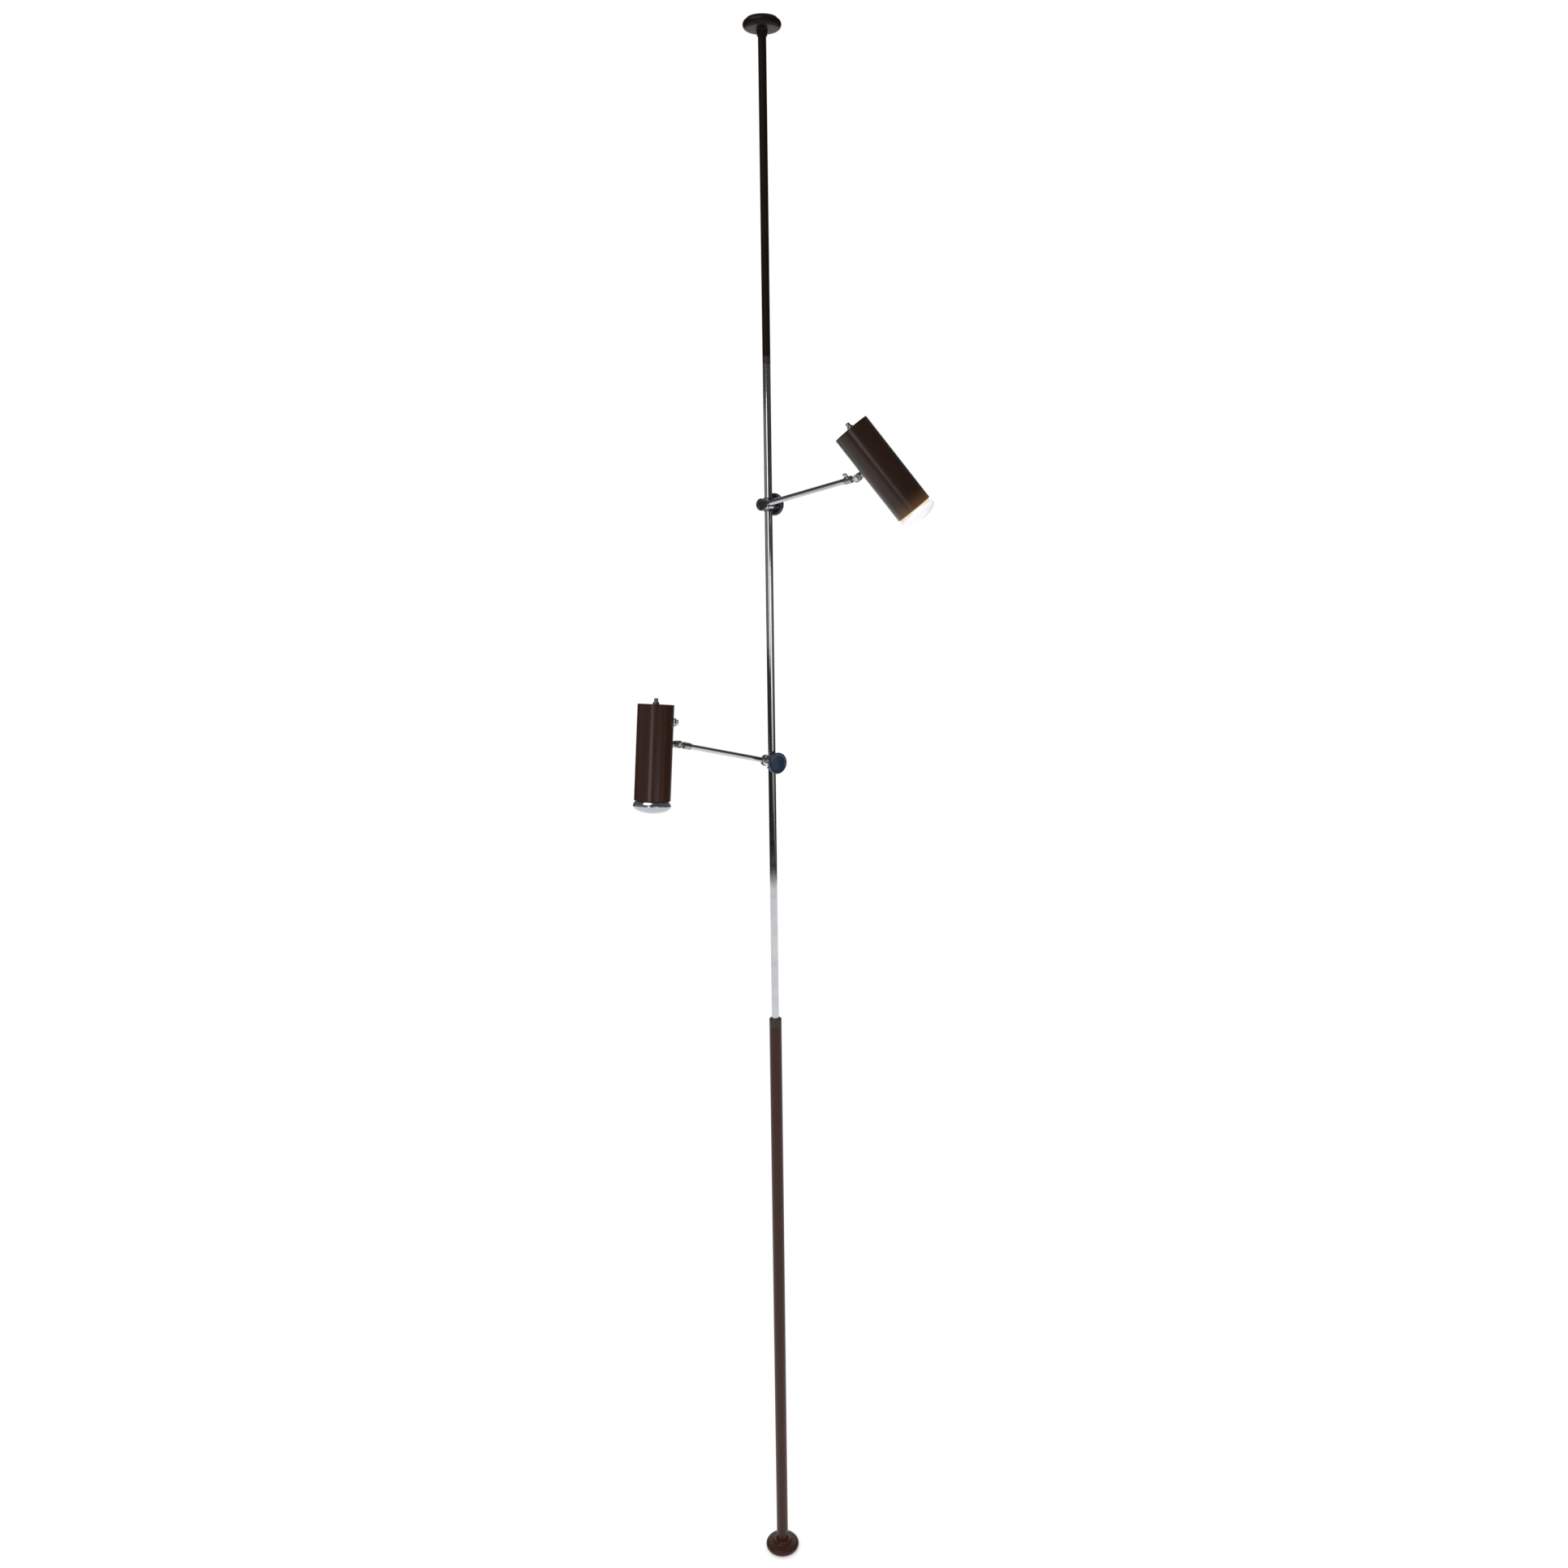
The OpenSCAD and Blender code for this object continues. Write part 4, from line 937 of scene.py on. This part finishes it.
def make_hinge(lamp):
    joint = Blank()
    joint.turned(ring(KNUCKLE_R - 0.1, PIN_R + RUN, -TONGUE_T / 2, TONGUE_T / 2, 0.3), ALONG_Y,
                 closed=True)
    joint.pressed(oblong(-SLOT_END - 1, -PIN_R - 0.8, SWIVEL_R), TONGUE_T, 0.3,
                  shift(y=TONGUE_T / 2) @ ALONG_MINUS_Y)
    joint.turned([(0, -21.5), (SWIVEL_R, -21.5, 0.4), (SWIVEL_R, -SLOT_END, 0.4),
                  (0, -SLOT_END)], ALONG_X, sides=64)
    joint.finished(lamp + "_swivel_knuckle", on_knuckle(lamp), lamp + "_swivel_joint",
                   [lamp + "_knuckle"], "nickel", nickel_plate)

    place = on_spot(lamp)
    fork = Blank()
    for low in (SLOT_HALF, -EAR_OUT):
        fork.turned(ring(KNUCKLE_R, PIN_R + RUN, low, low + EAR_T, 0.4), ALONG_Y, closed=True)
        fork.pressed(oblong(PIN_R + 0.8, SLOT_END + 2, EAR_HALF), EAR_T, 0.3,
                     shift(y=low + EAR_T) @ ALONG_MINUS_Y)
    fork.pressed(oblong(SLOT_END, SLOT_END + 2, EAR_HALF), 2 * EAR_OUT, 0.3,
                 shift(y=EAR_OUT) @ ALONG_MINUS_Y)
    fork.add(*fork_saddle(KNUCKLE_R - 0.8))
    fork.turned([(3, 14), (3, 21.2, 0.3), (0, 21.2)], ALONG_X, sides=48)
    fork.finished(lamp + "_shade_fork", place, lamp + "_spot", [lamp + "_bracket"], "nickel",
                  nickel_plate)
    pin = Blank().turned([
        (0, -EAR_OUT - 1.4), (PIN_R + 1.6, -EAR_OUT - 1.4, 0.6), (PIN_R + 1.6, -EAR_OUT, 0.15),
        (PIN_R, -EAR_OUT), (PIN_R, EAR_OUT), (PIN_R + 1.6, EAR_OUT, 0.15),
        (PIN_R + 1.6, EAR_OUT + 1.4, 0.6), (0, EAR_OUT + 1.4)], ALONG_Y, sides=48)
    pin.finished(lamp + "_fork_pin", place, lamp + "_spot", [lamp + "_hinge_pin"], "chrome",
                 chrome_plate)
    hexagon = [(NUT_CORNER_R * math.cos(math.radians(60 * k)),
                NUT_CORNER_R * math.sin(math.radians(60 * k))) for k in range(6)]
    nut_x = AXIS_X - math.sqrt(SHADE_BORE_R ** 2 - NUT_CORNER_R ** 2) + FACE
    Blank().pressed(hexagon, 3, 0.3, shift(x=nut_x) @ ALONG_X).finished(
        lamp + "_fork_nut", place, lamp + "_spot", [lamp + "_bracket_nut"], "nickel",
        nickel_plate)


def fork_saddle(boss_r):
    """The boss between the fork and the shade: its far end follows the shade's curve."""
    sides, points = 64, []
    rows = 4
    for row in range(rows + 1):
        for k in range(sides):
            a = 2 * math.pi * k / sides
            y, z = boss_r * math.cos(a), boss_r * math.sin(a)
            end = AXIS_X - math.sqrt((SHADE_R + RUN) ** 2 - y * y)
            x = SLOT_END + (end - SLOT_END) * row / rows
            points.append((x, y, z, 1.0 if row == rows else 0.0))
    faces = []
    for row in range(rows):
        for k in range(sides):
            a, b = row * sides + k, row * sides + (k + 1) % sides
            faces.append([a, a + sides, b + sides, b])
    return points, faces


# ---------- shades ----------

def make_shade(lamp):
    place = on_shade(lamp)
    lit = lamp == "upper"
    # Both lampshade lacquers are darker copies of the brown lacquer with painted shade; the upper
    # one also has a painted glow.
    coat = painted_shade_and_glow_lacquer if lit else painted_shade_lampshade_lacquer
    shell = Blank().turned(ring(SHADE_R, SHADE_BORE_R, SHADE_MOUTH, SHADE_TOP - 1.5, 0.35),
                           closed=True, sides=160)
    shell.finished(lamp + "_shade_shell", place, lamp + "_spot", [lamp + "_shade_tube"],
                   "lacquer", coat)
    lid_bore_r, rod_r = 3.15, 3
    Blank().turned([
        (lid_bore_r, SHADE_TOP - CAP_T), (SHADE_BORE_R - RUN, SHADE_TOP - CAP_T, 0.3),
        (SHADE_BORE_R - RUN, SHADE_TOP - 1.5), (SHADE_R, SHADE_TOP - 1.5),
        (SHADE_R, SHADE_TOP, 1.4), (lid_bore_r, SHADE_TOP)
    ], closed=True, sides=160).finished(
        lamp + "_shade_lid", place, lamp + "_spot", [lamp + "_shade_cap"], "lacquer", coat)
    Blank().turned([
        (3.05, SHADE_TOP), (5.3, SHADE_TOP, 0.3), (5.3, SHADE_TOP + 3, 0.5),
        (3.4, SHADE_TOP + 4.2, 0.5), (3.4, SHADE_TOP + 8.5, 0.8), (2, SHADE_TOP + 10, 0.8),
        (0, SHADE_TOP + 10)
    ], sides=64).finished(lamp + "_finial_nut", place, lamp + "_spot", [lamp + "_top_nut"],
                          "nickel", nickel_plate)
    Blank().turned([
        (0, HOLDER_Z - 6), (rod_r, HOLDER_Z - 6, 0.3), (rod_r, SHADE_TOP - CAP_T - 2),
        (5, SHADE_TOP - CAP_T - 2, 0.3), (5, SHADE_TOP - CAP_T, 0.2),
        (rod_r, SHADE_TOP - CAP_T), (rod_r, SHADE_TOP + 3, 0.3), (0, SHADE_TOP + 3)
    ], sides=48).finished(lamp + "_hanging_rod", place, lamp + "_spot",
                          [lamp + "_holder_stem"], "nickel", nickel_plate)


def make_lamp(lamp):
    place = on_shade(lamp)
    lit = lamp == "upper"
    back = HOLDER_LEN - HOLDER_DEPTH
    r = HOLDER_R
    grooves = []
    for k in range(4):
        z = HOLDER_Z - back - 6 - 3.2 * k
        grooves += [(r, z, 0.2), (r - 0.5, z - 0.4), (r - 0.5, z - 1.0), (r, z - 1.4, 0.2)]
    Blank().turned([
        (0, HOLDER_MOUTH + HOLDER_DEPTH), (13.6, HOLDER_MOUTH + HOLDER_DEPTH),
        (13.6, HOLDER_MOUTH, 0.4), (r, HOLDER_MOUTH, 0.6), *reversed(grooves),
        (r, HOLDER_Z - back, 0.6), (r * 0.85, HOLDER_Z - back * 0.8, 0.6),
        (r * 0.85, HOLDER_Z - back * 0.4, 1.5), (r * 0.72, HOLDER_Z - back * 0.15, 1.5),
        (r * 0.45, HOLDER_Z, 1), (0, HOLDER_Z)
    ]).finished(lamp + "_holder_moulding", place, lamp + "_spot", [lamp + "_lampholder"],
                "holder", moulded_brown)

    shell_top, wave, waves, steps = -6, 0.5, 4, 12
    shell_len = BULB_CAP_LEN + shell_top - 1
    thread = [(BULB_CAP_R - wave * (1 + math.cos(2 * math.pi * k / steps)),
               CONTACT_Z + shell_top - shell_len * k / (waves * steps))
              for k in range(waves * steps + 1)]
    cap = Blank()
    cap.turned([(0, CONTACT_Z), (4.5, CONTACT_Z, 1), (5, CONTACT_Z - 1.5)][::-1], zone=1)
    cap.turned([(5, CONTACT_Z - 1.5), (BULB_CAP_R * 0.7, CONTACT_Z - 4.5),
                (BULB_CAP_R * 0.86, CONTACT_Z - 5.4)][::-1], zone=2)
    cap.turned([(BULB_CAP_R * 0.86, CONTACT_Z - 5.4), *thread,
                (BULB_CAP_R - 1, CONTACT_Z - BULB_CAP_LEN, 0.2),
                (BULB_CAP_R - 1.8, CONTACT_Z - BULB_CAP_LEN, 0.2),
                (BULB_CAP_R - 1.8, CONTACT_Z + shell_top), (0, CONTACT_Z + shell_top)][::-1])
    cap.finished(lamp + "_screw_cap", place, lamp + "_spot", [lamp + "_bulb_cap"], "brass_cap",
                 brass, solder, moulded_brown)

    def outline(grow):
        r_max, r_neck = BULB_R + grow, BULB_NECK_R + grow
        made = []
        for k in range(29):
            u = k / 28
            made.append((r_neck + (r_max - r_neck) * math.sin(math.pi / 2 * u ** 4),
                         FLARE_TOP - u * (FLARE_TOP - BULB_WIDEST)))
        for k in range(1, 17):
            a = math.pi / 2 * k / 16
            made.append((max(0.0, r_max * math.cos(a)),
                         BULB_WIDEST - (DOME_H + grow) * math.sin(a)))
        made[-1] = (0, made[-1][1])
        return made

    inner = [(BULB_NECK_R - 1, GLASS_TOP, 0.2)] + outline(-1)
    outer = [(BULB_NECK_R, GLASS_TOP, 0.3)] + outline(0)
    Blank().turned(inner[::-1] + outer, sides=128).finished(
        lamp + "_bulb_envelope", place, lamp + "_spot", [lamp + "_bulb"],
        "lit_glass" if lit else "silver_glass", lit_bulb if lit else cold_bulb)


# ---------- push switch ----------

def make_switch(lamp):
    place = on_switch(lamp)
    face = math.sqrt(SHADE_BORE_R ** 2 - 6.5 ** 2) - FACE
    bore_r, mouth = 4.55, SWITCH_MOUTH
    Blank().turned([
        (0, face - 13), (6.5, face - 13, 0.6), (6.5, face, 0.5), (5.5, face),
        (5.5, mouth, 0.4), (bore_r, mouth, 0.2), (bore_r, mouth - 9), (0, mouth - 9)
    ], ALONG_X, sides=64).finished(lamp + "_switch_case", place, lamp + "_spot",
                                   [lamp + "_switch_body"], "holder", moulded_brown)

    def knurl(a, r, z):
        return r - 0.12 * (0.5 + 0.5 * math.cos(40 * a)) if r > 6.4 else r

    Blank().turned(ring(6.8, 5.55, SHADE_R + RUN, SHADE_R + RUN + 3.4, 0.5), ALONG_X,
                   closed=True, sides=240, wave=knurl).finished(
        lamp + "_switch_ring", place, lamp + "_spot", [lamp + "_switch_nut"], "chrome",
        chrome_plate)
    foot = mouth - 9 + 2.4
    Blank().turned([
        (0, foot), (4.5, foot, 0.4), (4.5, BUTTON_FACE, 1.1), (3, BUTTON_FACE - 0.05, 0.5),
        (0, BUTTON_FACE - 0.35)
    ], ALONG_X, sides=64).finished(lamp + "_push_button", place, lamp + "_button",
                                   [lamp + "_switch_button"], "chrome", chrome_plate)


# ---------- studio ----------

def flat_stage(name, centre, across, up, width, height):
    """A flat rectangle round a centre, in metres."""
    mesh = bpy.data.meshes.new(name)
    a, b = Vector(across).normalized() * width / 2, Vector(up).normalized() * height / 2
    c = Vector(centre)
    mesh.from_pydata([c - a - b, c + a - b, c + a + b, c - a + b], [], [(0, 1, 2, 3)])
    made = placed(name, mesh)
    return made


def seen_rays(w):
    """1 for what the camera, a gloss or a glass looks at."""
    path = w.node("LightPath")
    seen = w.math("MAXIMUM", path.outputs["Is Camera Ray"], path.outputs["Is Glossy Ray"])
    return w.math("MAXIMUM", seen, path.outputs["Is Transmission Ray"])


def make_world():
    world = bpy.data.worlds.new("white_studio")
    bpy.context.scene.world = world
    world.use_nodes = True
    world.node_tree.nodes.clear()
    w = Wiring(world.node_tree)
    mix = w.node("MixShader")
    w.join(seen_rays(w), mix.inputs[0])
    for socket, strength in ((mix.inputs[1], 0.62), (mix.inputs[2], 1.0)):
        white = w.node("Background")
        white.inputs["Color"].default_value = (1, 1, 1, 1)
        white.inputs["Strength"].default_value = strength
        w.join(white.outputs[0], socket)
    w.join(mix.outputs[0], w.node("OutputWorld").inputs["Surface"])


def make_floor():
    """Plain pale floor that keeps the lamp's shadow. Where it is looked at it adds some plain
    white, and away from the lamp it fades into the white backdrop."""
    floor = flat_stage("floor", (0, 0, -0.0002), (1, 0, 0), (0, 1, 0), 40, 40)
    material, w = new_material("pale_floor")
    shader = w.node("BsdfPrincipled")
    shader.inputs["Base Color"].default_value = (0.9, 0.9, 0.9, 1)
    shader.inputs["Roughness"].default_value = 1.0
    shader.inputs["Specular IOR Level"].default_value = 0.0
    glow, both = w.node("Emission"), w.node("AddShader")
    w.join(w.math("MULTIPLY", seen_rays(w), 0.42), glow.inputs["Strength"])
    w.join(shader.outputs[0], both.inputs[0])
    w.join(glow.outputs[0], both.inputs[1])
    white, fade = w.node("Emission"), w.node("MixShader")
    away = w.node("VectorMath", operation="LENGTH")
    w.join(w.node("TexCoord").outputs["Object"], away.inputs[0])
    far = w.band(away.outputs["Value"], 0.35, 1.3)
    w.join(w.math("MULTIPLY", far, seen_rays(w)), fade.inputs[0])
    w.join(both.outputs[0], fade.inputs[1])
    w.join(white.outputs[0], fade.inputs[2])
    w.join(fade.outputs[0], w.node("OutputMaterial").inputs["Surface"])
    floor.data.materials.append(material)


def only_in_gloss(card, near, far=None, heights=None):
    """A stage piece that only glossy surfaces see, as a plain colour. With heights it fades
    from near to far between them."""
    material, w = new_material(card.name)
    glow = w.node("Emission")
    glow.inputs["Color"].default_value = (*near, 1)
    glow.inputs["Strength"].default_value = 1.0
    if heights:
        parts = w.node("SeparateXYZ")
        w.join(w.node("TexCoord").outputs["Object"], parts.inputs[0])
        w.join(w.blend(w.band(parts.outputs["Z"], *heights), near, far), glow.inputs["Color"])
    w.join(glow.outputs[0], w.node("OutputMaterial").inputs["Surface"])
    card.data.materials.append(material)
    card.visible_camera = False
    card.visible_diffuse = False
    card.visible_transmission = False
    card.visible_shadow = False


def curved_stage(name, radius, low, high, start, end):
    """A curtain on an arc round the lamp, between two headings in degrees. Where low equals
    high it is a flat fan that starts near the pole."""
    mesh = bpy.data.meshes.new(name)
    steps, points, faces = 60, [], []
    for k in range(steps + 1):
        a = math.radians(start + (end - start) * k / steps)
        inner = radius if high > low else 0.04
        points.append((inner * math.cos(a), inner * math.sin(a), low))
        points.append((radius * math.cos(a), radius * math.sin(a), high))
    for k in range(steps):
        faces.append((2 * k, 2 * k + 2, 2 * k + 3, 2 * k + 1))
    mesh.from_pydata(points, [], faces)
    made = placed(name, mesh)
    return made


def make_softbox(name, place, aim, width, height, level):
    """An area light of that size whose surface has that brightness."""
    data = bpy.data.lights.new(name, "AREA")
    data.shape = "RECTANGLE"
    data.size, data.size_y = width, height
    data.energy = level * math.pi * width * height
    light = placed(name, data)
    light.location = place
    light.rotation_euler = (Vector(aim) - Vector(place)).to_track_quat("-Z", "Y").to_euler()


def make_studio():
    """White backdrop and floor, which metal and glass show too. A dark curtain at the sides
    and in front of the lamp, and a roof cloth, show only in gloss."""
    make_world()
    make_floor()
    make_softbox("left_softbox", (-1.22, -4.12, 1.87), (0, 0, 1.87), 1.05, 1.25, 3.0)
    make_softbox("top_softbox", (-1.2, -1.4, 4.6), (0, 0, 1.2), 2.4, 2.4, 2.2)
    low, high = (0.022, 0.022, 0.024), (0.075, 0.075, 0.08)
    only_in_gloss(curved_stage("curtain", 4.7, 0.0, 5.0, -245, 65), low, high, (0.7, 2.0))
    only_in_gloss(curved_stage("roof_cloth", 4.7, 5.0, 5.0, 0, 360), (0.05, 0.05, 0.052))
    only_in_gloss(curved_stage("front_card", 4.3, 0.45, 1.72, -80, -48),
                  (0.14, 0.14, 0.14), (1.8, 1.85, 1.9), (0.45, 1.4))
    only_in_gloss(curved_stage("left_wall", 4.6, 1.25, 2.45, -200, -114),
                  (0.22, 0.22, 0.23), (0.27, 0.28, 0.29), (1.3, 2.2))
    only_in_gloss(flat_stage("window", (3.4, -1.85, 1.05), (0, 1, 0), (0, 0, 1), 1.4, 1.3),
                  (0.50, 0.49, 0.40))


# ---------- assembly ----------

photo_camera()
bpy.context.scene.view_settings.view_transform = "Standard"
make_studio()
make_pole()
make_spring()
for lamp in LAMPS:
    make_clamp(lamp)
    make_arm(lamp)
    make_hinge(lamp)
    make_shade(lamp)
    make_lamp(lamp)
    make_switch(lamp)
